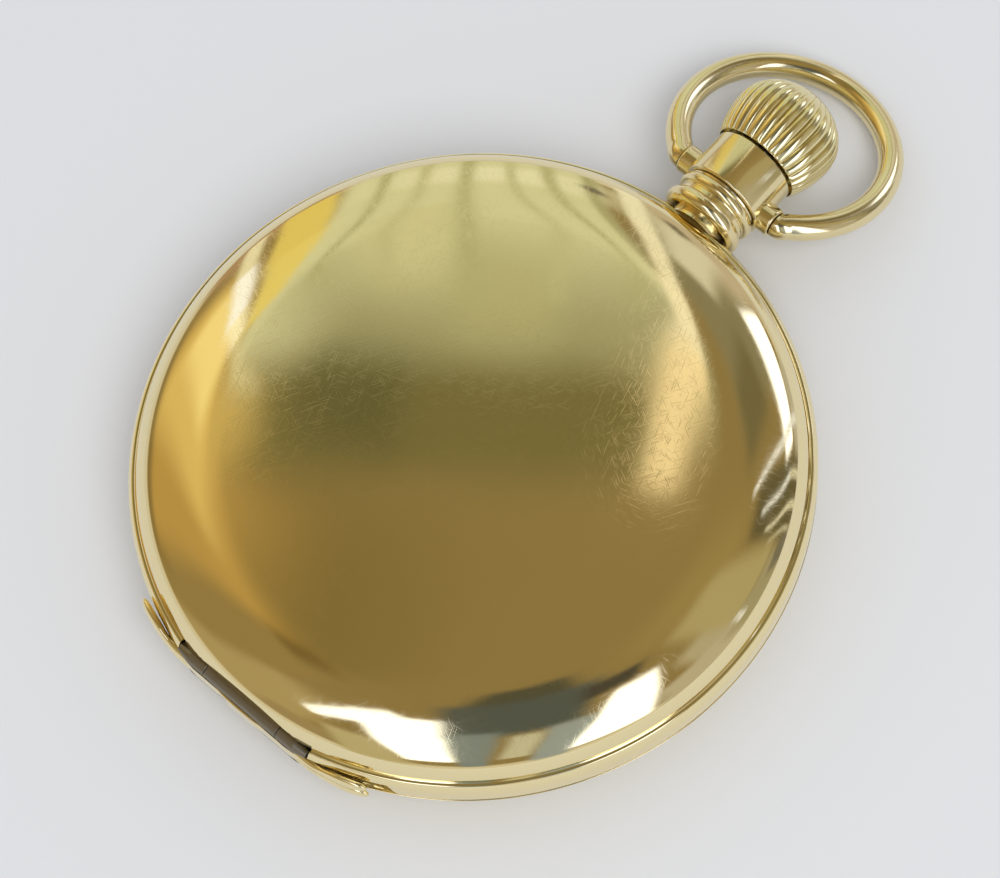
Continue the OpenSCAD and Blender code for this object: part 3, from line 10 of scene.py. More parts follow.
import bmesh
import bpy
from bpy.props import FloatProperty, FloatVectorProperty, IntProperty, PointerProperty
from bpy.types import Operator, Panel, PropertyGroup
from mathutils import Matrix, Vector


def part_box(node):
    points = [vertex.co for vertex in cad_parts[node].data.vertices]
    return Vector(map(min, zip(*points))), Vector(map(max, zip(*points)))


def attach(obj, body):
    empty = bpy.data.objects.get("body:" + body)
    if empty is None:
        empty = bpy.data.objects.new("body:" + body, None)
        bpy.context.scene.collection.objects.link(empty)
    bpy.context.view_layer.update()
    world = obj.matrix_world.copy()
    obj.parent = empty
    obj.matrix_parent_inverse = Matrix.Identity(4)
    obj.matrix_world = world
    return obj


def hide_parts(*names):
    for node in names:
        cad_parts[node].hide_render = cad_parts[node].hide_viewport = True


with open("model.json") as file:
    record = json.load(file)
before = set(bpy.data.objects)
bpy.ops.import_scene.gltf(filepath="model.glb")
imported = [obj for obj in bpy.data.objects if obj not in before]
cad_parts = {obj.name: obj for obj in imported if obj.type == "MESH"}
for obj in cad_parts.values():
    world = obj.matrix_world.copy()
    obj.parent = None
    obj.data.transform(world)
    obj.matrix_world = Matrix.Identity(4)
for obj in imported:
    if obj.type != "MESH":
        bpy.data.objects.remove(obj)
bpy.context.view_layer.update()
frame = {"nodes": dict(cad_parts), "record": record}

bl_info = {
    "name": "Pocket watch looks",
    "version": (1, 0, 0),
    "blender": (4, 5, 0),
    "location": "3D View > Sidebar > Watch",
    "description": "Dresses a full hunter pocket watch on its fixed frame",
    "category": "Object",
}

# Height of the case's middle, its radius, and how far out the bow's pivot lies
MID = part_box("front_cover")[1].z / 2
CASE_R = 0.025
BOW_PIVOT = 0.02895


class CoverSizes(PropertyGroup):
    """Sizes of the two outer covers."""
    height: FloatProperty(name="Height", description="Middle of the case to the top of the front cover",
        default=0.0058, unit="LENGTH")
    dome_r: FloatProperty(name="Dome radius", description="Radius where the flat dome meets the shoulder",
        default=0.018, unit="LENGTH")
    dome_rise: FloatProperty(name="Dome rise", description="Height of the dome above its edge",
        default=0.00065, unit="LENGTH")
    turn: FloatProperty(name="Shoulder turn", description="Slope where the tight shoulder starts",
        default=math.radians(28), subtype="ANGLE")
    wall: FloatProperty(name="Wall", description="Thickness of the sheet", default=0.0004, unit="LENGTH")


class BowSizes(PropertyGroup):
    """Sizes of the bow."""
    wire: FloatProperty(name="Wire", description="Thickness of the wire", default=0.00196, unit="LENGTH")
    radius: FloatProperty(name="Radius", description="Radius of the centre line", default=0.00819,
        unit="LENGTH")
    reach: FloatProperty(name="Reach", description="Pivot to the centre of the bow", default=0.00679,
        unit="LENGTH")


class CrownSizes(PropertyGroup):
    """Sizes of the crown."""
    radius: FloatProperty(name="Radius", description="Radius at the belly", default=0.0044, unit="LENGTH")
    flutes: IntProperty(name="Flutes", description="Number of rounded ridges", default=30)
    depth: FloatProperty(name="Depth", description="Depth of the valleys between the ridges",
        default=0.00034, unit="LENGTH")


class StageSizes(PropertyGroup):
    """Camera and floor."""
    lens: FloatProperty(name="Lens", description="Focal length in millimetres", default=115.2,
        unit="CAMERA")
    distance: FloatProperty(name="Distance", description="Camera to the middle of the watch",
        default=0.2321, unit="LENGTH")
    floor: FloatProperty(name="Floor", description="Half width of the table", default=1.2, unit="LENGTH")
    table: FloatVectorProperty(name="Table", description="Colour of the table", subtype="COLOR",
        default=(0.76, 0.757, 0.755))


def linear(code, scale=1.0):
    """Linear colour of an sRGB code such as #f0d595."""
    parts = [int(code[i:i + 2], 16) / 255 for i in (1, 3, 5)]
    return tuple(scale * (c / 12.92 if c <= 0.04045 else ((c + 0.055) / 1.055) ** 2.4)
        for c in parts) + (1.0,)


def add(tree, kind, settings=None, links=None):
    """Adds a node with its settings and with its inputs set or linked."""
    node = tree.nodes.new(kind)
    for name, value in (settings or {}).items():
        setattr(node, name, value)
    for name, value in (links or {}).items():
        socket = node.inputs[name]
        if isinstance(value, bpy.types.NodeSocket):
            tree.links.new(value, socket)
        else:
            socket.default_value = value
    return node


def every(size):
    """Scale of a noise whose patches are about this many millimetres across."""
    return 1000 / size


def blank(name):
    """A material with nothing in it, and its tree."""
    material = bpy.data.materials.new(name)
    material.use_nodes = True
    material.node_tree.nodes.clear()
    return material, material.node_tree


def hairlines(tree, place, across, along, threshold):
    """Fine scratches in four directions, 0 on the clean surface and 1 in a scratch."""
    bend, edge = 0.0012, 0.17
    sway = add(tree, "ShaderNodeTexNoise", {}, {"Vector": place, "Scale": every(9.09), "Detail": 1.0})
    bent = add(tree, "ShaderNodeVectorMath", {"operation": "MULTIPLY_ADD"},
        {0: sway.outputs["Color"], 1: (bend, bend, bend), 2: place})
    total = None
    for i, turn in enumerate((0.25, 1.05, 1.9, 2.7)):
        laid = add(tree, "ShaderNodeMapping", {"vector_type": "TEXTURE"},
            {"Vector": bent.outputs[0], "Location": (i, 2 * i, 3 * i), "Rotation": (0, 0, turn),
             "Scale": (across, along, 3 * along)})
        lines = add(tree, "ShaderNodeTexNoise", {},
            {"Vector": laid.outputs[0], "Scale": 1.0, "Detail": 0.0})
        cut = add(tree, "ShaderNodeMapRange", {"interpolation_type": "SMOOTHSTEP"},
            {"Value": lines.outputs["Fac"], "From Min": threshold, "From Max": threshold + edge})
        total = cut.outputs[0] if total is None else add(tree, "ShaderNodeMath",
            {"operation": "MAXIMUM"}, {0: total, 1: cut.outputs[0]}).outputs[0]
    return total


def polished_gold(name, colour, roughness, worn):
    """Polished gold alloy, worn by years of handling.

    It gives a clear, slightly uneven mirror with fine scratches, soft haze, tiny pits, and grime with
    painted shade in its recesses.
    """
    material, tree = blank(name)
    place = add(tree, "ShaderNodeTexCoord").outputs["Object"]
    # Real scratches are about 0.01 mm wide: drawn at 0.06 mm, which is what the picture can hold
    lines = hairlines(tree, place, across=0.00006, along=0.0014, threshold=0.66)
    dent_depth, mark_depth, mark_blur = 0.000012, 0.00000035, 0.05
    haze = add(tree, "ShaderNodeTexNoise", {}, {"Vector": place, "Scale": every(6.25), "Detail": 3.0})
    dents = add(tree, "ShaderNodeTexNoise", {}, {"Vector": place, "Scale": every(5.88), "Detail": 0.0})
    pits = add(tree, "ShaderNodeTexVoronoi", {"feature": "F1"},
        {"Vector": place, "Scale": every(3.03)})
    pit = add(tree, "ShaderNodeMapRange", {"interpolation_type": "SMOOTHSTEP"},
        {"Value": pits.outputs["Distance"], "From Min": 0.035, "From Max": 0.015})
    rough = add(tree, "ShaderNodeMapRange", {},
        {"Value": haze.outputs["Fac"], "From Min": 0.3, "From Max": 0.75,
         "To Min": roughness * 0.8, "To Max": roughness * 1.35})
    marks = add(tree, "ShaderNodeMath", {"operation": "MAXIMUM"}, {0: pit.outputs[0], 1: lines})
    rougher = add(tree, "ShaderNodeMath", {"operation": "MULTIPLY_ADD"},
        {0: marks.outputs[0], 1: mark_blur * worn, 2: rough.outputs[0]})
    soft = add(tree, "ShaderNodeBump", {},
        {"Strength": 1.0, "Distance": dent_depth * worn, "Height": dents.outputs["Fac"]})
    bump = add(tree, "ShaderNodeBump", {"invert": True},
        {"Strength": 1.0, "Distance": mark_depth * worn, "Height": marks.outputs[0],
         "Normal": soft.outputs[0]})
    shade = add(tree, "ShaderNodeMix", {"data_type": "RGBA"},
        {"Factor": haze.outputs["Fac"], 6: linear(colour, 0.97), 7: linear(colour, 1.0)})
    # Dark grime where no cloth reaches, and painted shade where little light reaches, darken the seams,
    # the gaps between the rings and the foot of a boss
    narrow, grime_and_shade_blur = 0.00045, 0.35
    # Ambient occlusion finds the hemmed-in places, which get the grime and the painted shade
    near = add(tree, "ShaderNodeAmbientOcclusion", {"samples": 6}, {"Distance": narrow})
    grime_and_shade_mask = add(tree, "ShaderNodeMapRange", {"interpolation_type": "SMOOTHSTEP"},
        {"Value": near.outputs["AO"], "From Min": 0.5, "From Max": 0.1, "To Max": 0.9})
    # 4b3f2c is the dark brown of the grime and of the painted shade in those recesses
    grime_and_shade_tone = add(tree, "ShaderNodeMix", {"data_type": "RGBA"},
        {"Factor": grime_and_shade_mask.outputs[0], 6: shade.outputs[2], 7: linear("#4b3f2c")})
    dull = add(tree, "ShaderNodeMath", {"operation": "MULTIPLY_ADD"},
        {0: grime_and_shade_mask.outputs[0], 1: grime_and_shade_blur, 2: rougher.outputs[0]})
    shader = add(tree, "ShaderNodeBsdfPrincipled", {},
        {"Base Color": grime_and_shade_tone.outputs[2], "Metallic": 1.0, "Roughness": dull.outputs[0],
         "Normal": bump.outputs[0]})
    add(tree, "ShaderNodeOutputMaterial", {}, {"Surface": shader.outputs[0]})
    return material


def plain_metal(name, colour, roughness, grain=0.4):
    """Metal of the small parts. A fine grain, in millimetres, keeps its gleam from looking flat."""
    material, tree = blank(name)
    place = add(tree, "ShaderNodeTexCoord").outputs["Object"]
    noise = add(tree, "ShaderNodeTexNoise", {}, {"Vector": place, "Scale": every(grain), "Detail": 2.0})
    rough = add(tree, "ShaderNodeMapRange", {},
        {"Value": noise.outputs["Fac"], "To Min": roughness * 0.8, "To Max": roughness * 1.2})
    tone = add(tree, "ShaderNodeMix", {"data_type": "RGBA"},
        {"Factor": noise.outputs["Fac"], 6: linear(colour, 0.92), 7: linear(colour)})
    shader = add(tree, "ShaderNodeBsdfPrincipled", {},
        {"Base Color": tone.outputs[2], "Metallic": 1.0, "Roughness": rough.outputs[0]})
    add(tree, "ShaderNodeOutputMaterial", {}, {"Surface": shader.outputs[0]})
    return material


def coated(name, colour, roughness):
    """Fired enamel and polished stone: an even colour, faintly clouded, under a sharp gloss."""
    material, tree = blank(name)
    place = add(tree, "ShaderNodeTexCoord").outputs["Object"]
    noise = add(tree, "ShaderNodeTexNoise", {}, {"Vector": place, "Scale": every(1.67), "Detail": 2.0})
    tone = add(tree, "ShaderNodeMix", {"data_type": "RGBA"},
        {"Factor": noise.outputs["Fac"], 6: linear(colour, 0.96), 7: linear(colour)})
    shader = add(tree, "ShaderNodeBsdfPrincipled", {},
        {"Base Color": tone.outputs[2], "Roughness": roughness})
    add(tree, "ShaderNodeOutputMaterial", {}, {"Surface": shader.outputs[0]})
    return material


def clear_glass(name):
    """Mineral glass over the dial: clear, with only a faint gleam at a slant."""
    material, tree = blank(name)
    shader = add(tree, "ShaderNodeBsdfPrincipled", {},
        {"Base Color": linear("#fdfefe"), "Roughness": 0.02, "Transmission Weight": 1.0, "IOR": 1.5})
    add(tree, "ShaderNodeOutputMaterial", {}, {"Surface": shader.outputs[0]})
    return material


# How each finish is made: its maker, its name, its colour, its roughness and what else the maker takes
FINISHES = {
    # The lids and the band are rubbed bright, the neck, bow and crown are duller from being handled
    "case_gold": (polished_gold, "polished gold", "#f6e6b4", 0.065, 1.0),
    "soft_gold": (polished_gold, "handled gold", "#efdfae", 0.125, 0.8),
    "crown_gold": (polished_gold, "crown gold", "#f0e3b0", 0.16, 0.6),
    "inner_gold": (polished_gold, "inner gold", "#f3dfa8", 0.12, 0.5),
    # Grey and matt from grime and rubbing, with a grain just fine enough to break its gleam
    "worn_hinge": (plain_metal, "worn hinge gold", "#8d8575", 0.45, 0.111),
    # Lapped steel gleams like dull silver
    "steel": (plain_metal, "polished steel", "#b9bcc2", 0.22),
    # Steel that was heated until its oxide skin turned blue
    "blued_steel": (plain_metal, "blued steel", "#27408f", 0.20),
    # Brass with a thin matt gilding: a warm, even glow
    "gilt_brass": (plain_metal, "gilt brass", "#d9b777", 0.30),
    # Blasted nickel silver: a pale, slightly warm sheen with no sharp reflection
    "nickel": (plain_metal, "frosted nickel", "#cdc9bb", 0.26),
    # Deep red and bright at the edge, as cut stone is
    "ruby": (coated, "ruby", "#a3102e", 0.05),
    # Creamy white under a glassy skin, and the black of the marks, which is a little duller
    "enamel": (coated, "white enamel", "#f2f0e8", 0.12),
    "black_enamel": (coated, "black enamel", "#15151a", 0.25),
    "glass": (clear_glass, "clear glass"),
}
MADE = {}


def finish_of(name):
    """The material of a finish, made once."""
    if name not in MADE:
        maker, *details = FINISHES[name]
        MADE[name] = maker(*details)
    return MADE[name]


def add_parts(work, parts, material=0):
    """Adds closed parts (vertices, faces) to a mesh that is being built."""
    for verts, faces in parts:
        made = [work.verts.new(v) for v in verts]
        for face in faces:
            work.faces.new([made[i] for i in face]).material_index = material


def mesh_of(name, work):
    """Turns the work into a mesh with its faces looking outward."""
    bmesh.ops.recalc_face_normals(work, faces=work.faces)
    mesh = bpy.data.meshes.new(name)
    work.to_mesh(mesh)
    work.free()
    return mesh


def piece(name, parts, body, slot, replaces=(), sharp=30, place=Matrix(), finish=None):
    """Makes a mesh of closed parts (vertices, faces) that moves with a body and stands for nodes."""
    work = bmesh.new()
    add_parts(work, parts)
    bmesh.ops.remove_doubles(work, verts=work.verts, dist=1e-8)
    return dress(name, mesh_of(name, work), body, slot, replaces, sharp, place, finish)


def cut_away(mesh, rooms):
    """What is left of a mesh when closed parts (vertices, faces) are cut out of it."""
    whole = bpy.data.objects.new("whole", mesh)
    items = [whole]
    for room in rooms:
        work = bmesh.new()
        add_parts(work, [room])
        items.append(bpy.data.objects.new("room", mesh_of("room", work)))
        cut = whole.modifiers.new("cut", "BOOLEAN")
        cut.operation, cut.solver, cut.object = "DIFFERENCE", "EXACT", items[-1]
    for item in items:
        bpy.context.scene.collection.objects.link(item)
    bpy.context.view_layer.update()
    left = bpy.data.meshes.new_from_object(whole.evaluated_get(bpy.context.evaluated_depsgraph_get()))
    for item in items:
        bpy.data.objects.remove(item)
    return left


def dress(name, mesh, body, slot, replaces=(), sharp=30, place=Matrix(), finish=None):
    """Links a mesh to the scene as a piece of the watch, smooth apart from its sharp edges."""
    mesh.transform(place)
    mesh.shade_smooth()
    mesh.set_sharp_from_angle(angle=math.radians(sharp))
    mesh.materials.append(finish_of(finish or slot))
    item = bpy.data.objects.new(name, mesh)
    bpy.context.scene.collection.objects.link(item)
    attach(item, body)
    if replaces:
        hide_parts(*replaces)
    return item


def arc(centre, radius, start, end, steps):
    """Points of an arc in a flat plane, from one angle to another in degrees. Radius may be a pair."""
    wide, high = radius if isinstance(radius, tuple) else (radius, radius)
    angles = [math.radians(start + (end - start) * i / steps) for i in range(steps + 1)]
    return [(centre[0] + wide * math.cos(a), centre[1] + high * math.sin(a)) for a in angles]


def sweep(path, steps=40):
    """Round wire along a flat path of ((x, y), (direction x, y), radius), closed at both ends."""
    verts, faces = [], []
    for (x, y), (dx, dy), radius in path:
        length = math.hypot(dx, dy)
        nx, ny = -dy / length, dx / length
        for i in range(steps):
            a = 2 * math.pi * i / steps
            across = radius * math.cos(a)
            verts.append((x + nx * across, y + ny * across, radius * math.sin(a)))
    for k in range(len(path) - 1):
        for i in range(steps):
            j = (i + 1) % steps
            faces.append((k * steps + i, k * steps + j, (k + 1) * steps + j, (k + 1) * steps + i))
    faces.append(tuple(range(steps)))
    faces.append(tuple(range((len(path) - 1) * steps, len(path) * steps)))
    return verts, faces


def revolve(outline, steps, axis="Z", centre=(0, 0, 0)):
    """Vertices and faces of a closed outline [(radius, along)] turned round an axis."""
    verts, faces, rows = [], [], []
    for radius, along in outline:
        count = 1 if radius < 1e-9 else steps
        rows.append([len(verts) + i % count for i in range(steps)])
        for i in range(count):
            a = 2 * math.pi * i / steps
            c, s = radius * math.cos(a), radius * math.sin(a)
            spot = {"X": (along, c, s), "Y": (s, along, c), "Z": (c, s, along)}[axis]
            verts.append(tuple(p + q for p, q in zip(spot, centre)))
    for k, low in enumerate(rows):
        high = rows[(k + 1) % len(rows)]
        for i in range(steps):
            j = (i + 1) % steps
            face = list(dict.fromkeys((low[i], low[j], high[j], high[i])))
            if len(face) > 2:
                faces.append(face)
    return verts, faces


def lid_curve(sizes, top, inset):
    """Outline of a cover from its middle to the end of the shoulder, with evenly changing curvature.

    A flat arc is the dome, a wide one leads on from it, and a tight one is the shoulder. Heights are
    measured from the middle of the case. The two wider arcs blend over a given length.
    """
    end, slope = (0.02435, 0.00175), math.radians(76)
    steps, fine, blend = 150, 6000, 0.0015
    dome = (sizes.dome_r ** 2 + sizes.dome_rise ** 2) / (2 * sizes.dome_rise)
    start = math.asin(sizes.dome_r / dome)
    # The radii of the wide and the tight arc follow from where they have to end
    a = math.sin(sizes.turn) - math.sin(start)
    b = math.sin(slope) - math.sin(sizes.turn)
    c = math.cos(start) - math.cos(sizes.turn)
    d = math.cos(sizes.turn) - math.cos(slope)
    across, down = end[0] - sizes.dome_r, top - sizes.dome_rise - end[1]
    wide = (across * d - b * down) / (a * d - b * c)
    tight = (a * down - c * across) / (a * d - b * c)
    first, second = dome * start, wide * (sizes.turn - start)
    step = (first + second + tight * (slope - sizes.turn)) / fine
    r, z, lean, points = 0.0, top, 0.0, []
    for i in range(fine + 1):
        if i % (fine // steps) == 0 or i == fine:
            points.append((r - inset * math.sin(lean), z - inset * math.cos(lean)))
        s = i * step
        near_dome = s < first + second / 2
        at, before, after, half = ((first, 1 / dome, 1 / wide, blend / 2) if near_dome
            else (first + second, 1 / wide, 1 / tight, blend / 4))
        curve = before + (after - before) * min(max((s - at + half) / (2 * half), 0), 1)
        lean += curve * step
        r += math.cos(lean) * step
        z -= math.sin(lean) * step
    return points


def cover_outline(sizes, rest):
    """Closed outline of a cover. With rest its dome is cut flat where the watch stands."""
    past_table = 0.00013
    top = MID + past_table if rest else sizes.height
    outer = [(max(r, 0), min(z, MID)) for r, z in lid_curve(sizes, top, 0)]
    inner = [(max(r, 0), z) for r, z in lid_curve(sizes, top, sizes.wall)]
    rim, inside = 0.0009, 0.02305
    groove = [(0.0244, 0.00158), (0.02447, 0.00152), (0.02456, 0.001515)]
    bead = arc((0.0246, 0.0014), 0.00012, 95, 40, 6)
    side = arc((0.023397, 0.000402), 0.001682, 39.2, 19.2, 6)
    foot = arc((0.024947, 0.0009418), 0.00004, 15, -90, 5)
    kept = [p for p in inner if p[0] < inside - 0.0001]
    under = [(inside, rim), (inside, kept[-1][1] - 0.0002)]
    return outer + groove + bead + side + foot + under + kept[::-1]


# The axis of an outer hinge (x, and height from the middle of the case), the knuckles' radius, half the
# middle knuckle's length, the play beside it, and half the length of all knuckles together
HINGE = (-0.024, 0.00115)
KNUCKLE = 0.00055
MIDDLE = 0.0035
GAP = 0.00002
HINGE_END = 0.0063


def barrel(low, high, z, taper=0.0):
    """Hinge knuckle along Y with the hole for its pin. With taper its far end thins over that length."""
    edge, bore, thin, steps = 0.00005, 0.00026, 0.0003, 40
    way = math.copysign(1, high - low)
    end = [(thin, high)] if taper else [(KNUCKLE - edge, high)]
    outline = [(bore, low), (KNUCKLE - edge, low), (KNUCKLE, low + way * edge),
        (KNUCKLE, high - way * (taper or edge))] + end + [(bore, high)]
    return revolve(outline, steps, "Y", (HINGE[0], 0, z))


def block(low, high):
    """Box between two corners."""
    verts = [(x, y, z) for x in (low[0], high[0]) for y in (low[1], high[1]) for z in (low[2], high[2])]
    return verts, [(0, 1, 3, 2), (4, 6, 7, 5), (0, 4, 5, 1), (2, 3, 7, 6), (0, 2, 6, 4), (1, 5, 7, 3)]


def loft(sections):
    """Closed skin over sections of equally many points, closed at both ends."""
    count = len(sections[0])
    verts = [point for section in sections for point in section]
    faces = [tuple(range(count)), tuple(range(len(verts) - count, len(verts)))]
    for k in range(len(sections) - 1):
        faces += [(k * count + i, k * count + (i + 1) % count, (k + 1) * count + (i + 1) % count,
            (k + 1) * count + i) for i in range(count)]
    return verts, faces


def smooth_rows(rows, steps):
    """Rows of numbers with smooth steps between them (Catmull-Rom)."""
    made = []
    for k in range(len(rows) - 1):
        near = [rows[max(0, k - 1)], rows[k], rows[k + 1], rows[min(len(rows) - 1, k + 2)]]
        for i in range(steps):
            t = i / steps
            made.append([(2 * b + (c - a) * t + (2 * a - 5 * b + 4 * c - d) * t ** 2
                + (3 * b - a - 3 * c + d) * t ** 3) / 2 for a, b, c, d in zip(*near)])
    return made + [list(rows[-1])]


class WATCH_OT_covers(Operator):
    """Turns the two outer covers, cut straight over the hinge, each with its knuckle."""
    bl_idname = "watch.covers"
    bl_label = "Outer covers"

    def execute(self, context):
        sizes = context.scene.watch_cover
        # A cover is cut back further beside the knuckles than at its lip above them
        cut, lip, away = -0.02338, -0.02385, -0.027
        low, high, apart = 0.0005, 0.004, 0.0001
        overlap, web_depth, steps = 0.00008, 0.0002, 384
        half = MIDDLE - GAP
        above = HINGE[1] + KNUCKLE + GAP
        rooms = [block((away, -HINGE_END, low), (cut, HINGE_END, above)),
            block((away - apart, -HINGE_END, low - apart), (lip, HINGE_END, high))]
        for name, side in (("front_cover", 1), ("back_cover", -1)):
            work = bmesh.new()
            add_parts(work, [revolve(cover_outline(sizes, side < 0), steps)])
            sheet = cut_away(mesh_of(name + "_sheet", work), rooms)
            work = bmesh.new()
            work.from_mesh(sheet)
            web = block((HINGE[0], -half, HINGE[1] - web_depth),
                (cut + overlap, half, HINGE[1] + KNUCKLE))
            add_parts(work, [barrel(-half, half, HINGE[1]), web], 1)
            place = Matrix.Translation((0, 0, MID))
            if side < 0:
                place = place @ Matrix.Rotation(math.pi, 4, "X")
            item = dress(name + "_sheet", mesh_of(name + "_sheet", work), name, "case_gold", (name,),
                place=place)
            item.data.materials.append(finish_of("worn_hinge"))
        return {"FINISHED"}


class WATCH_OT_band(Operator):
    """Takes the band from the frame and gives it a flush outside, knuckles and curved hinge horns."""
    bl_idname = "watch.band"
    bl_label = "Band and hinge horns"

    def execute(self, context):
        mesh = cut_away(frame["nodes"]["case_band"].data.copy(), self.rooms())
        work = bmesh.new()
        work.from_mesh(mesh)
        add_parts(work, [self.flush_ring(), self.bar()])
        taper, short, web_end = 0.0011, 0.0001, 0.0055
        for side in (-1, 1):
            z = MID + side * HINGE[1]
            for end in (-1, 1):
                first, last = end * (MIDDLE + GAP), end * (HINGE_END - short)
                # The web joins the knuckle to the band
                web = block((HINGE[0] - 0.0003, first, z - side * 0.0005),
                    (HINGE[0] + 0.0005, end * web_end, z - side * 0.0002))
                add_parts(work, [self.horn(side, end)])
                add_parts(work, [barrel(first, last, z, taper), web], 1)
            self.pin("front" if side > 0 else "back")
        item = dress("case_band_ring", mesh_of("case_band_ring", work), "case", "case_gold",
            ("case_band",))
        item.data.materials.append(finish_of("worn_hinge"))
        return {"FINISHED"}

    def rooms(self):
        """Room for the horns beyond the band, and for the knuckles above and below it."""
        flush, spread, reach, tall = 0.02471, 31, 0.0275, 0.003
        outer, inner, near, far = -0.026, -0.0232, 0.00345, 0.0098
        bottom, top = 0.00086, 0.0022
        rim = arc((0, 0), flush, 180 - spread, 180 + spread, 90)
        verts = [(x, y, z) for z in (MID - tall, MID + tall)
            for x, y in rim + [(-reach, -reach / 2), (-reach, reach / 2)]]
        count = len(verts) // 2
        faces = [tuple(range(count)), tuple(range(2 * count - 1, count - 1, -1))]
        faces += [(i, (i + 1) % count, count + (i + 1) % count, count + i) for i in range(count)]
        return [(verts, faces)] + [
            block((outer, end * near, MID + side * bottom), (inner, end * far, MID + side * top))
            for side in (-1, 1) for end in (-1, 1)]

    def flush_ring(self):
        """The outside of the band, level with the covers. It fades out just before the horns."""
        inner, faded, outer = 0.0245, 0.0247, 0.02495
        edge, corner, bulge = 0.00084, 0.00004, 0.00003
        outline = [(inner, -edge)] + arc((outer - corner, corner - edge), corner, -90, -8, 4)
        outline += [(outer + bulge * (1 - (z / edge) ** 2), z)
            for z in [edge * 0.94 * k / 5 for k in range(-4, 5)]]
        outline += arc((outer - corner, edge - corner), corner, 8, 90, 4) + [(inner, edge)]
        steps, open_at, fade = 360, math.radians(27), math.radians(3)
        sections = []
        for i in range(steps + 1):
            turn = (open_at - math.pi) + 2 * (math.pi - open_at) * i / steps
            t = min(1, (math.pi - open_at - abs(turn)) / fade)
            full = t * t * (3 - 2 * t)
            section = []
            for radius, z in outline:
                r = radius if radius == inner else faded + (radius - faded) * full
                section.append((r * math.cos(turn), r * math.sin(turn), MID + z))
            sections.append(section)
        return loft(sections)

    def bar(self):
        """The straight bar under the knuckles. Its upper and lower edges follow them."""
        # Upper half of its outline: x, and height from the middle of the case
        half = [(-0.0241, 0.0005), (-0.0243, 0.0006), (-0.02442, 0.00068), (-0.02452, 0.00075),
            (-0.02457, 0.00077), (-0.02459, 0.00072), (-0.0246, 0.0004)]
        outline = half + [(-0.02461, 0.0)] + [(x, -z) for x, z in half[::-1]]
        # Towards its ends it leans in and gets lower: y, shift and share of the height
        ends = ((0.0045, 0, 1), (0.0052, 0.00007, 1), (0.0058, 0.00022, 0.95), (0.0064, 0.0004, 0.8))
        stations = [(-y, shift, high) for y, shift, high in reversed(ends)] + list(ends)
        return loft([[(x + shift, y, MID + z * high) for x, z in outline]
            for y, shift, high in stations])

    def horn(self, side, end):
        """A horn: a rounded finger that leaves the band at the knuckles and stands off at its tip."""
        # Angle from the hinge in degrees, inner and outer radius, lower and upper height in millimetres
        rows = (
            (8, 24.50, 24.78, 0.25, 0.70),
            (12, 24.55, 25.10, 0.20, 0.84),
            (15, 24.62, 25.38, 0.16, 0.87),
            (16.6, 24.86, 25.48, 0.14, 0.89),
            (18, 25.03, 25.56, 0.12, 1.02),
            (20, 25.06, 25.67, 0.10, 1.22),
            (22.4, 25.13, 25.75, 0.12, 1.27),
            (24, 25.21, 25.74, 0.20, 1.22),
            (24.8, 25.29, 25.68, 0.32, 1.10),
            (25.3, 25.40, 25.57, 0.52, 0.90))
        half_mm, steps, between = 0.0005, 24, 5
        sections = []
        for angle, inner, outer, low, high in smooth_rows(rows, between):
            turn = math.pi - end * math.radians(angle)
            section = []
            for i in range(steps):
                a = 2 * math.pi * i / steps
                radius = half_mm * (inner + outer + (outer - inner) * math.cos(a))
                section.append((radius * math.cos(turn), radius * math.sin(turn),
                    MID + side * half_mm * (low + high + (high - low) * math.sin(a))))
            sections.append(section)
        return loft(sections)

    def pin(self, side):
        """Pin of an outer hinge, which ends just inside its last knuckles."""
        low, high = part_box(side + "_hinge_pin")
        radius, end = (high.x - low.x) / 2, HINGE_END - 0.00012
        outline = [(0, -end), (radius, -end), (radius, end), (0, end)]
        centre = (low + high) / 2
        piece(side + "_pin_rod", [revolve(outline, 32, "Y", (centre.x, 0, centre.z))],
            "case", "steel", (side + "_hinge_pin",))


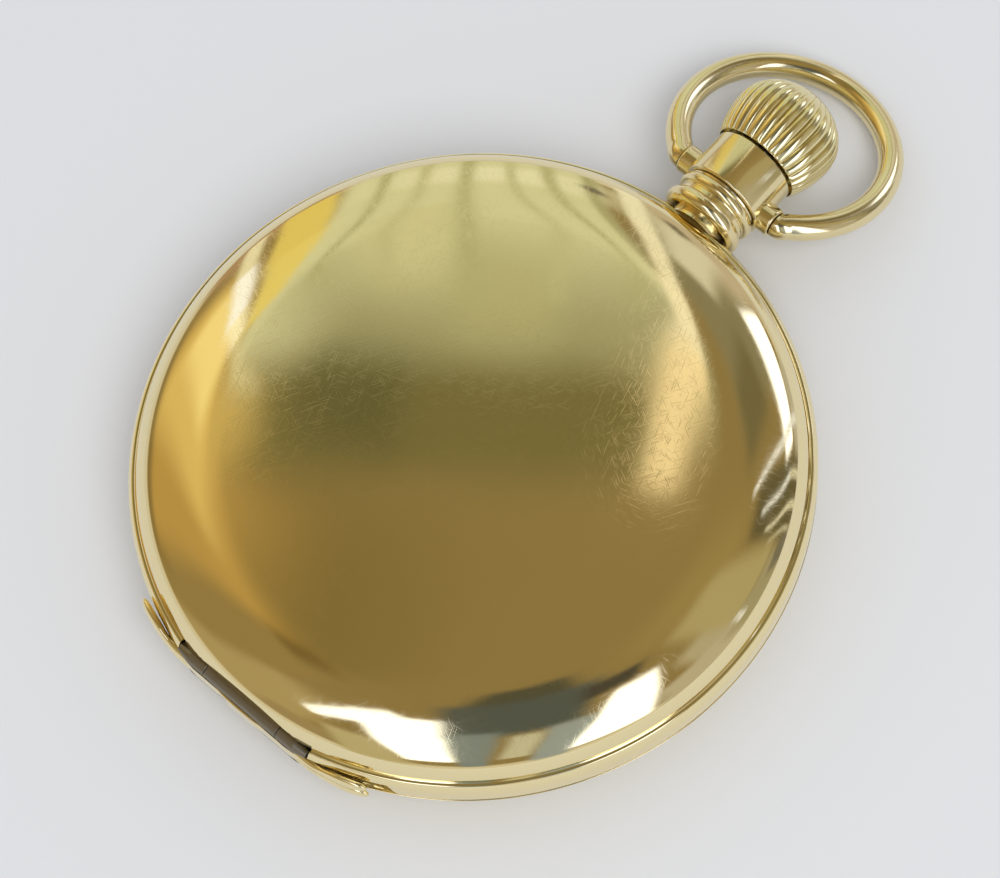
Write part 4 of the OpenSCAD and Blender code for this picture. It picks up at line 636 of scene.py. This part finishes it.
class WATCH_OT_crown(Operator):
    """Builds the crown: a ball of rounded ridges that run from its mouth to its far pole."""
    bl_idname = "watch.crown"
    bl_label = "Crown"

    def execute(self, context):
        sizes = context.scene.watch_crown
        low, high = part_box("crown")
        start, end = low.x, high.x
        stem_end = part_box("stem")[1].x
        mouth, rim, tip, bore, hollow = 0.0035, 0.00012, 0.0003, 0.00076, 0.0015
        # Where the belly lies along the crown, and the rows of points before and after it
        share, before, after = 0.49, 24, 40
        belly = start + (end - start) * share
        lean = math.acos((mouth + rim) / sizes.radius)
        near = (belly - start) / math.sin(lean)
        rows = [(sizes.radius * math.cos(a), belly - near * math.sin(a))
            for a in [lean * (1 - i / before) for i in range(before + 1)]]
        rows += [(tip + (sizes.radius - tip) * math.cos(a), belly + (end - belly) * math.sin(a))
            for a in [math.pi / 2 * i / after for i in range(1, after + 1)]]
        # Points in a ridge, and how much of a half circle its section is
        per, round_share = 12, 0.97
        count = sizes.flutes * per
        verts, faces = [], []
        for k, (radius, x) in enumerate(rows):
            # The ridges fade in over the rolled edge of the mouth
            depth = sizes.depth * (radius / sizes.radius) * min(1, 0.55 + k / 8)
            for i in range(count):
                t = round_share * (2 * (i % per) / per - 1)
                r = radius - depth * (1 - math.sqrt(1 - t * t))
                a = 2 * math.pi * i / count
                verts.append((x, r * math.cos(a), r * math.sin(a)))
        inner = [(mouth + 0.00002, start - 0.00004), (mouth, start + 0.00005), (mouth, start + hollow),
            (bore, start + hollow), (bore, stem_end + 0.00003)]
        for radius, x in inner:
            for i in range(count):
                a = 2 * math.pi * i / count
                verts.append((x, radius * math.cos(a), radius * math.sin(a)))
        total = len(rows)
        order = [total + 4, total + 3, total + 2, total + 1, total] + list(range(total))
        for low_row, high_row in zip(order, order[1:]):
            for i in range(count):
                j = (i + 1) % count
                faces.append((low_row * count + i, low_row * count + j, high_row * count + j,
                    high_row * count + i))
        for row in (order[0], order[-1]):
            faces.append(tuple(row * count + i for i in range(count)))
        piece("crown_ball", [(verts, faces)], "crown", "crown_gold", ("crown",), 40,
            Matrix.Translation((0, 0, MID)))
        return {"FINISHED"}


class WATCH_OT_pendant(Operator):
    """Turns the pendant with its rings, drum and bow bosses."""
    bl_idname = "watch.pendant"
    bl_label = "Pendant"

    def execute(self, context):
        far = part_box("pendant")[1]
        end, boss = far.x, far.y
        foot, sunk, depth = CASE_R + 0.0001, 0.0005, 0.0057
        mouth, bore, hole, cap_foot = 0.00185, 0.00075, 0.00054, 0.0029
        # From the drum past two rings to the foot
        outline = [(mouth, end - depth), (mouth, end), (0.0032, end)]
        outline += arc((0.00316, end - 0.00024), 0.00024, 90, 0, 8)
        outline += arc((0.00322, foot + 0.00306), 0.00018, 0, -90, 6)
        outline += [(0.00303, foot + 0.00282)]
        outline += arc((0.00298, foot + 0.00222), (0.00032, 0.00046), 90, -90, 16)
        outline += [(0.00296, foot + 0.00168), (0.00290, foot + 0.00164), (0.00290, foot + 0.00142)]
        outline += arc((0.00278, foot + 0.00067), (0.00057, 0.00066), 78, -90, 22)
        outline += [(0.0022, foot), (0.0022, foot - sunk), (bore, foot - sunk), (bore, end - depth)]
        parts = [revolve(outline, 160, "X")]
        for side in (-1, 1):
            cap = [(hole, side * cap_foot), (0.00112, side * cap_foot), (0.00114, side * (boss - 0.0003))]
            cap += [(r, side * y) for r, y in arc((0.00096, boss - 0.00018), 0.00018, 0, 90, 6)]
            cap += [(hole, side * boss)]
            parts.append(revolve(cap, 64, "Y", (BOW_PIVOT, 0, 0)))
        piece("pendant_neck", parts, "case", "case_gold", ("pendant",), 32,
            Matrix.Translation((0, 0, MID)), "soft_gold")
        return {"FINISHED"}


class WATCH_OT_bow(Operator):
    """Bends the bow and turns it down on its pivot until its far end is near the table."""
    bl_idname = "watch.bow"
    bl_label = "Bow"

    def execute(self, context):
        sizes = context.scene.watch_bow
        side, stub, stub_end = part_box("pendant")[1].y + 0.00006, 0.0005, 0.00345
        wire = sizes.wire / 2
        # Half of the bow is round up to this turn, and from there bends in to its boss
        turn, steps, bend_steps, stiff = math.radians(139), 96, 12, 2.6
        edge = Vector((sizes.reach + sizes.radius * math.cos(turn), sizes.radius * math.sin(turn)))
        way = Vector((-math.sin(turn), math.cos(turn)))
        end = Vector((0, side + 0.00012))
        half = []
        for i in range(steps + 1):
            a = turn * i / steps
            half.append(((sizes.reach + sizes.radius * math.cos(a), sizes.radius * math.sin(a)),
                (-math.sin(a), math.cos(a)), wire))
        pull = (edge - end).length / stiff
        first, second = edge + way * pull, end + Vector((0, pull))
        for i in range(1, bend_steps + 1):
            t = i / bend_steps
            spot = ((1 - t) ** 3 * edge + 3 * t * (1 - t) ** 2 * first + 3 * t * t * (1 - t) * second
                + t ** 3 * end)
            head = ((1 - t) ** 2 * (first - edge) + 2 * t * (1 - t) * (second - first)
                + t * t * (end - second))
            half.append((tuple(spot), tuple(head), wire))
        down = (0, -1)
        half += [((0, side + 0.00005), down, wire), ((0, side), down, wire - 0.00006),
            ((0, side), down, stub), ((0, stub_end), down, stub)]
        other = [((x, -y), (-dx, dy), radius) for (x, y), (dx, dy), radius in half[:0:-1]]
        verts, faces = sweep(other + half, 48)
        # The slanting wire reaches down by a little less than its radius
        slant = 0.98
        tilt = math.asin((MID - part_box("bow")[0].z - wire * slant) / (sizes.reach + sizes.radius))
        piece("bow_ring", [(verts, faces)], "bow", "case_gold", ("bow",), 35,
            Matrix.Translation((BOW_PIVOT, 0, MID)) @ Matrix.Rotation(tilt, 4, "Y"), "soft_gold")
        return {"FINISHED"}


class WATCH_OT_finishes(Operator):
    """Gives each part of the frame that stays the finish of its slot."""
    bl_idname = "watch.finishes"
    bl_label = "Finishes"

    def execute(self, context):
        slots = {s["node"]: s["material_slot"] for s in frame["record"]["subparts"]}
        for name, item in frame["nodes"].items():
            item.data.materials.clear()
            item.data.materials.append(finish_of(slots[name]))
        return {"FINISHED"}


# What the polish shows: the dim space all round, the table out to its edge, and daylight
SPACE = "#92815a"
TABLE_BEYOND = "#d9d4c8"
DAYLIGHT = "#dfe6ff"
# What lights the table and whatever else doesn't gleam, and how strongly
SOFT_LIGHT = (0.80, 0.82, 0.86, 1.0)
SOFT_STRENGTH = 0.80
# Soft cards round the watch, seen only in its polish: from one point to another, width at both ends,
# colour, strength and softness of the edge. A point is (right, up) on the sky as the camera frames
# it, in degrees from straight overhead.
CARDS = [
    ((-22, -3), (-84, -6), 12, 66, "#98855b", 1.0, 0.25),
    ((-20, 3), (-12, 20), 14, 14, "#84744b", 1.0, 0.8),
    ((12, 4), (34, 8), 20, 14, "#9c8b60", 1.0, 0.8),
    ((-24, 2), (-17, 2), 10, 10, "#7a6840", 1.0, 0.8),
    ((-28, -19), (-76, -40), 12, 60, "#b0a07b", 1.0, 0.3),
    ((-44, -42), (-62, -62), 14, 36, "#a09070", 1.0, 0.4),
    ((-60, 12), (-84, 22), 26, 40, "#8d7a4f", 1.0, 0.4),
    ((-18, 12), (-64, 30), 18, 48, "#bd9f60", 1.0, 0.35),
    ((-24, 18), (-54, 46), 16, 32, "#e2c883", 1.0, 0.5),
    ((-26, 27), (-45, 46), 9, 15, "#feecad", 1.0, 0.6),
    ((-56, 62), (-42, 92), 22, 34, "#b0957b", 1.0, 0.4),
    ((16, 34), (44, 58), 24, 40, "#8b8671", 1.0, 0.3),
    ((24, 24), (36, 36), 12, 14, "#766f55", 1.0, 0.5),
    ((28, 58), (52, 92), 24, 60, "#c4bbb0", 1.0, 0.4),
    ((22, 47), (30, 66), 9, 14, "#dbdcd9", 1.0, 0.5),
    ((-6, 24), (-8.5, 97), 23, 50, "#dadfca", 1.0, 0.10),
    ((-4, 62), (-3, 78), 30, 34, "#ebf0e4", 1.0, 0.9),
    ((-14, 29), (8, 27), 8, 8, "#a5a78e", 1.0, 0.8),
    ((-8, 31), (-10, 43), 5, 7, "#d6d9be", 1.0, 0.9),
    ((-6, 31), (-1, 30), 5, 5, "#bbbd9e", 1.0, 0.9),
    ((-17, 24), (5, 23.5), 6, 6, "#79744f", 1.0, 0.5),
    ((-13.5, 25), (-8.5, 24.3), 5, 5, "#646244", 1.0, 0.8),
    ((-16, 23.8), (-22, 24.5), 4, 7, "#d0b878", 1.0, 0.8),
    ((-13, 31), (-25, 92), 0.8, 2.4, "#b4b795", 1.0, 0.6),
    ((-9.5, 31), (-17, 92), 0.8, 2.2, "#c5c8ac", 1.0, 0.6),
    ((-5.5, 30), (-9.5, 92), 1.0, 2.6, "#b7bb9b", 1.0, 0.6),
    ((-1, 30), (-2, 92), 0.8, 2.0, "#c5c9ae", 1.0, 0.6),
    ((3, 30), (5, 90), 1.0, 2.8, "#babd9f", 1.0, 0.6),
    ((7, 32), (13, 88), 1.2, 3.0, "#aeb093", 1.0, 0.6),
    ((-18, 31), (-27, 50), 4, 9, "#ecdd8a", 1.0, 0.2),
    ((-27, 49), (-37, 78), 9, 11, "#e8d682", 1.0, 0.2),
    ((-16, 25.5), (-22, 31), 0.7, 2.0, "#e6e2c8", 1.0, 0.8),
    ((-21.5, 30.5), (-29, 37), 2.2, 4, "#fbfaf0", 1.15, 0.5),
    ((-28.5, 36.5), (-40, 54), 4, 4.6, DAYLIGHT, 1.5, 0.4),
    ((-39.5, 53), (-47, 72), 4.4, 5, "#f1f0e1", 1.0, 0.4),
    ((4.0, 20), (5.9, 28.4), 1.9, 3.1, "#fdeccf", 1.1, 0.5),
    ((5.6, 27.8), (9.4, 35.8), 3.0, 3.7, "#fffbf0", 1.02, 0.4),
    ((9.5, 35.2), (15, 48.2), 2.9, 4.0, "#fbf9ef", 1.0, 0.4),
    ((14.9, 47.6), (17.5, 61.2), 3.9, 4.8, "#f8f7f0", 1.0, 0.3),
    ((17.4, 60.4), (23, 96), 4.7, 6.4, "#f4f5f1", 1.0, 0.3),
    ((10, 70), (13, 71), 5, 5, "#77736a", 1.0, 0.6),
    ((26, 68), (30, 70), 6, 6, "#7a7568", 1.0, 0.6),
    ((44, 54), (62, 27), 17, 16, DAYLIGHT, 2.5, 0.2),
    ((66, 56), (86, 36), 20, 24, "#bcbab8", 1.0, 0.4),
    ((37, 13), (92, 18), 10, 34, "#655f49", 1.0, 0.3),
    ((33, 16), (55, 29.5), 1.2, 2.4, DAYLIGHT, 1.3, 0.5),
    ((54.5, 29), (84, 46), 2.4, 3.4, DAYLIGHT, 1.2, 0.5),
    ((41, 12.5), (66, 22), 1.2, 2.4, DAYLIGHT, 1.2, 0.5),
    ((65.5, 21.8), (92, 28), 2.4, 3.2, "#e4e4e0", 1.0, 0.5),
    ((46, 9), (92, 18), 1.0, 3.0, "#e8e8e4", 1.0, 0.5),
    ((50, 6), (92, 9), 1.0, 2.6, "#c4c3b9", 1.0, 0.5),
    ((24, -1), (58, -7), 12, 26, "#b2a987", 1.0, 0.35),
    ((58, -8), (90, -18), 26, 30, "#a5a08b", 1.0, 0.35),
    ((56, -15), (70, -20), 3, 4, DAYLIGHT, 1.25, 0.5),
    ((34, -14), (62, -26), 8, 16, "#b6b0a0", 1.0, 0.5),
    ((46, -30), (84, -52), 22, 44, "#bdb8ae", 1.0, 0.4),
    ((72, -2), (92, 3), 9, 13, "#7b7872", 1.0, 0.5),
    ((-28, -36), (-36, -82), 12, 26, "#bdb598", 1.0, 0.4),
    ((23, -17), (42, -70), 8, 36, DAYLIGHT, 2.6, 0.18),
    ((-14, -19), (-15, -70), 15, 15, DAYLIGHT, 2.6, 0.2),
    ((-33, -27), (-13, -20), 3, 9, DAYLIGHT, 2.3, 0.3),
    ((1, -1), (2.5, -12), 7, 16, "#55554b", 1.0, 0.3),
    ((2.5, -9), (4.5, -30), 20, 25, "#575e63", 1.0, 0.2),
    ((12, -15), (21, -12), 8, 6, "#4d4a46", 1.0, 0.4),
    ((-3, -28), (-2, -84), 9, 9, "#8290a0", 1.0, 0.3),
    ((15, -28), (25, -84), 9, 14, "#9aa8bb", 1.0, 0.3),
    ((7, -31), (10, -68), 6, 9, "#c9cac0", 1.0, 0.4),
]
# This many of them come first and end at the table's edge, the others lie over it
BROAD = 10


class WATCH_OT_stage(Operator):
    """Sets the table, the soft light and the camera."""
    bl_idname = "watch.stage"
    bl_label = "Table, light and camera"

    def execute(self, context):
        scene = context.scene
        sizes = scene.watch_stage
        scene.view_settings.view_transform = "Standard"
        self.camera(scene, sizes)
        self.floor(scene, sizes)
        self.lamp(scene)
        self.world(scene)
        return {"FINISHED"}

    def axes(self):
        """The camera's right, up and backward directions."""
        around, tilt, roll = (math.radians(v) for v in (-38.27, 23.30, -10.87))
        back = Vector((math.sin(around) * math.sin(tilt), -math.cos(around) * math.sin(tilt),
            math.cos(tilt)))
        right = Vector((math.cos(around), math.sin(around), 0))
        up = back.cross(right)
        return (math.cos(roll) * right + math.sin(roll) * up,
            -math.sin(roll) * right + math.cos(roll) * up, back)

    def camera(self, scene, sizes):
        """The camera, which looks at a point beside the middle of the case."""
        beside = (0.00204, 0.00188)
        right, up, back = self.axes()
        data = bpy.data.cameras.new("camera")
        data.lens = sizes.lens
        data.sensor_width = 36
        data.clip_start = 0.01
        view = bpy.data.objects.new("camera", data)
        turn = Matrix((right, up, back)).transposed().to_4x4()
        centre = beside[0] * right + beside[1] * up + Vector((0, 0, MID))
        view.matrix_world = Matrix.Translation(centre + sizes.distance * back) @ turn
        scene.collection.objects.link(view)
        scene.camera = view

    def floor(self, scene, sizes):
        """A pale card table: matt and faintly clouded, so that it shows only soft shadows."""
        half, patch, darker = sizes.floor, 111.1, 0.97
        mesh = bpy.data.meshes.new("table")
        mesh.from_pydata([(-half, -half, 0), (half, -half, 0), (half, half, 0), (-half, half, 0)], [],
            [(0, 1, 2, 3)])
        item = bpy.data.objects.new("table", mesh)
        scene.collection.objects.link(item)
        material, tree = blank("pale card table")
        place = add(tree, "ShaderNodeTexCoord").outputs["Object"]
        cloud = add(tree, "ShaderNodeTexNoise", {},
            {"Vector": place, "Scale": every(patch), "Detail": 2.0})
        clean = (*sizes.table, 1.0)
        clouded = (*(darker * c for c in sizes.table), 1.0)
        tone = add(tree, "ShaderNodeMix", {"data_type": "RGBA"},
            {"Factor": cloud.outputs["Fac"], 6: clouded, 7: clean})
        shader = add(tree, "ShaderNodeBsdfPrincipled", {},
            {"Base Color": tone.outputs[2], "Roughness": 0.9, "Specular IOR Level": 0.1})
        add(tree, "ShaderNodeOutputMaterial", {}, {"Surface": shader.outputs[0]})
        mesh.materials.append(material)

    def lamp(self, scene):
        """A broad, soft daylight from above, which the polish doesn't show."""
        place = Vector((-0.25, -0.55, 0.9))
        data = bpy.data.lights.new("daylight", "AREA")
        data.shape = "DISK"
        data.size = 0.7
        data.energy = 5.4
        item = bpy.data.objects.new("daylight", data)
        turn = (-place).to_track_quat("-Z", "Y").to_matrix().to_4x4()
        item.matrix_world = Matrix.Translation(place) @ turn
        item.visible_glossy = False
        scene.collection.objects.link(item)

    def world(self, scene):
        """Surrounds the watch with the cards for its polish, and with plain soft light for the rest."""
        edge = (math.radians(80), math.radians(86))
        world = bpy.data.worlds.new("soft light and cards")
        world.use_nodes = True
        tree = world.node_tree
        tree.nodes.clear()
        way = add(tree, "ShaderNodeTexCoord").outputs["Generated"]
        part = add(tree, "ShaderNodeSeparateXYZ", {}, {0: way})
        flat = add(tree, "ShaderNodeVectorMath", {"operation": "MULTIPLY"}, {0: way, 1: (1, 1, 0)})
        unit = add(tree, "ShaderNodeVectorMath", {"operation": "NORMALIZE"}, {0: flat.outputs[0]})
        fall = add(tree, "ShaderNodeMath", {"operation": "ARCCOSINE"}, {0: part.outputs[2]})
        scaled = add(tree, "ShaderNodeVectorMath", {"operation": "SCALE"},
            {0: unit.outputs[0], "Scale": fall.outputs[0]})
        _, up, _ = self.axes()
        sky = add(tree, "ShaderNodeMapping", {"vector_type": "POINT"},
            {"Vector": scaled.outputs[0], "Rotation": (0, 0, math.pi / 2 - math.atan2(up.y, up.x)),
             "Scale": (math.degrees(1),) * 3}).outputs[0]
        low = add(tree, "ShaderNodeMapRange", {"interpolation_type": "SMOOTHSTEP"},
            {"Value": fall.outputs[0], "From Min": edge[0], "From Max": edge[1]})
        colour = linear(SPACE)
        for card in CARDS[:BROAD]:
            colour = self.card(tree, sky, colour, *card)
        colour = add(tree, "ShaderNodeMix", {"data_type": "RGBA"},
            {"Factor": low.outputs[0], 6: colour, 7: linear(TABLE_BEYOND)}).outputs[2]
        for card in CARDS[BROAD:]:
            colour = self.card(tree, sky, colour, *card)
        cards = add(tree, "ShaderNodeBackground", {}, {"Color": colour, "Strength": 1.0})
        plain = add(tree, "ShaderNodeBackground", {}, {"Color": SOFT_LIGHT, "Strength": SOFT_STRENGTH})
        ray = add(tree, "ShaderNodeLightPath")
        both = add(tree, "ShaderNodeMixShader", {},
            {0: ray.outputs["Is Glossy Ray"], 1: plain.outputs[0], 2: cards.outputs[0]})
        add(tree, "ShaderNodeOutputWorld", {}, {"Surface": both.outputs[0]})
        scene.world = world

    def card(self, tree, sky, below, start, end, width, wider, code, strength, soft):
        """Lays one soft card over the colours below it."""
        du, dv = end[0] - start[0], end[1] - start[1]
        length, mean = math.hypot(du, dv) / 2, (width + wider) / 4
        laid = add(tree, "ShaderNodeMapping", {"vector_type": "TEXTURE"},
            {"Vector": sky, "Location": ((start[0] + end[0]) / 2, (start[1] + end[1]) / 2, 0),
             "Rotation": (0, 0, math.atan2(dv, du)), "Scale": (length, mean, 1)})
        spot = add(tree, "ShaderNodeSeparateXYZ", {}, {0: laid.outputs[0]})
        flare = add(tree, "ShaderNodeMath", {"operation": "MULTIPLY_ADD"},
            {0: spot.outputs[0], 1: (wider - width) / (wider + width), 2: 1.0})
        across = add(tree, "ShaderNodeMath", {"operation": "DIVIDE"},
            {0: spot.outputs[1], 1: flare.outputs[0]})
        away = [add(tree, "ShaderNodeMath", {"operation": "ABSOLUTE"}, {0: part.outputs[k]})
            for part, k in ((spot, 0), (across, 0))]
        fades = (min(soft * mean / length, 0.5), soft)
        masks = [add(tree, "ShaderNodeMapRange", {"interpolation_type": "SMOOTHSTEP"},
            {"Value": item.outputs[0], "From Min": 1 + fade, "From Max": 1 - fade})
            for item, fade in zip(away, fades)]
        mask = add(tree, "ShaderNodeMath", {"operation": "MULTIPLY"},
            {0: masks[0].outputs[0], 1: masks[1].outputs[0]})
        return add(tree, "ShaderNodeMix", {"data_type": "RGBA"},
            {"Factor": mask.outputs[0], 6: below, 7: linear(code, strength)}).outputs[2]


class WATCH_PT_panel(Panel):
    """The watch's tools in the sidebar."""
    bl_label = "Watch"
    bl_space_type = "VIEW_3D"
    bl_region_type = "UI"
    bl_category = "Watch"

    def draw(self, context):
        for cls in OPERATORS:
            self.layout.operator(cls.bl_idname)
        for sizes in (context.scene.watch_cover, context.scene.watch_bow, context.scene.watch_crown,
                context.scene.watch_stage):
            box = self.layout.box()
            for name in sizes.__annotations__:
                box.prop(sizes, name)


GROUPS = {"watch_cover": CoverSizes, "watch_bow": BowSizes, "watch_crown": CrownSizes,
    "watch_stage": StageSizes}
OPERATORS = (WATCH_OT_finishes, WATCH_OT_covers, WATCH_OT_band, WATCH_OT_crown, WATCH_OT_pendant,
    WATCH_OT_bow, WATCH_OT_stage)


def register():
    """Registers the classes and adds the sizes to the scene."""
    for cls in (*GROUPS.values(), *OPERATORS, WATCH_PT_panel):
        bpy.utils.register_class(cls)
    for name, cls in GROUPS.items():
        setattr(bpy.types.Scene, name, PointerProperty(type=cls))


def unregister():
    """Undoes register."""
    for name in GROUPS:
        delattr(bpy.types.Scene, name)
    for cls in (WATCH_PT_panel, *reversed(OPERATORS), *reversed(GROUPS.values())):
        bpy.utils.unregister_class(cls)


def main():
    """Makes everything in order."""
    register()
    for cls in OPERATORS:
        group, name = cls.bl_idname.split(".")
        getattr(getattr(bpy.ops, group), name)()


if __name__ == "__main__":
    main()
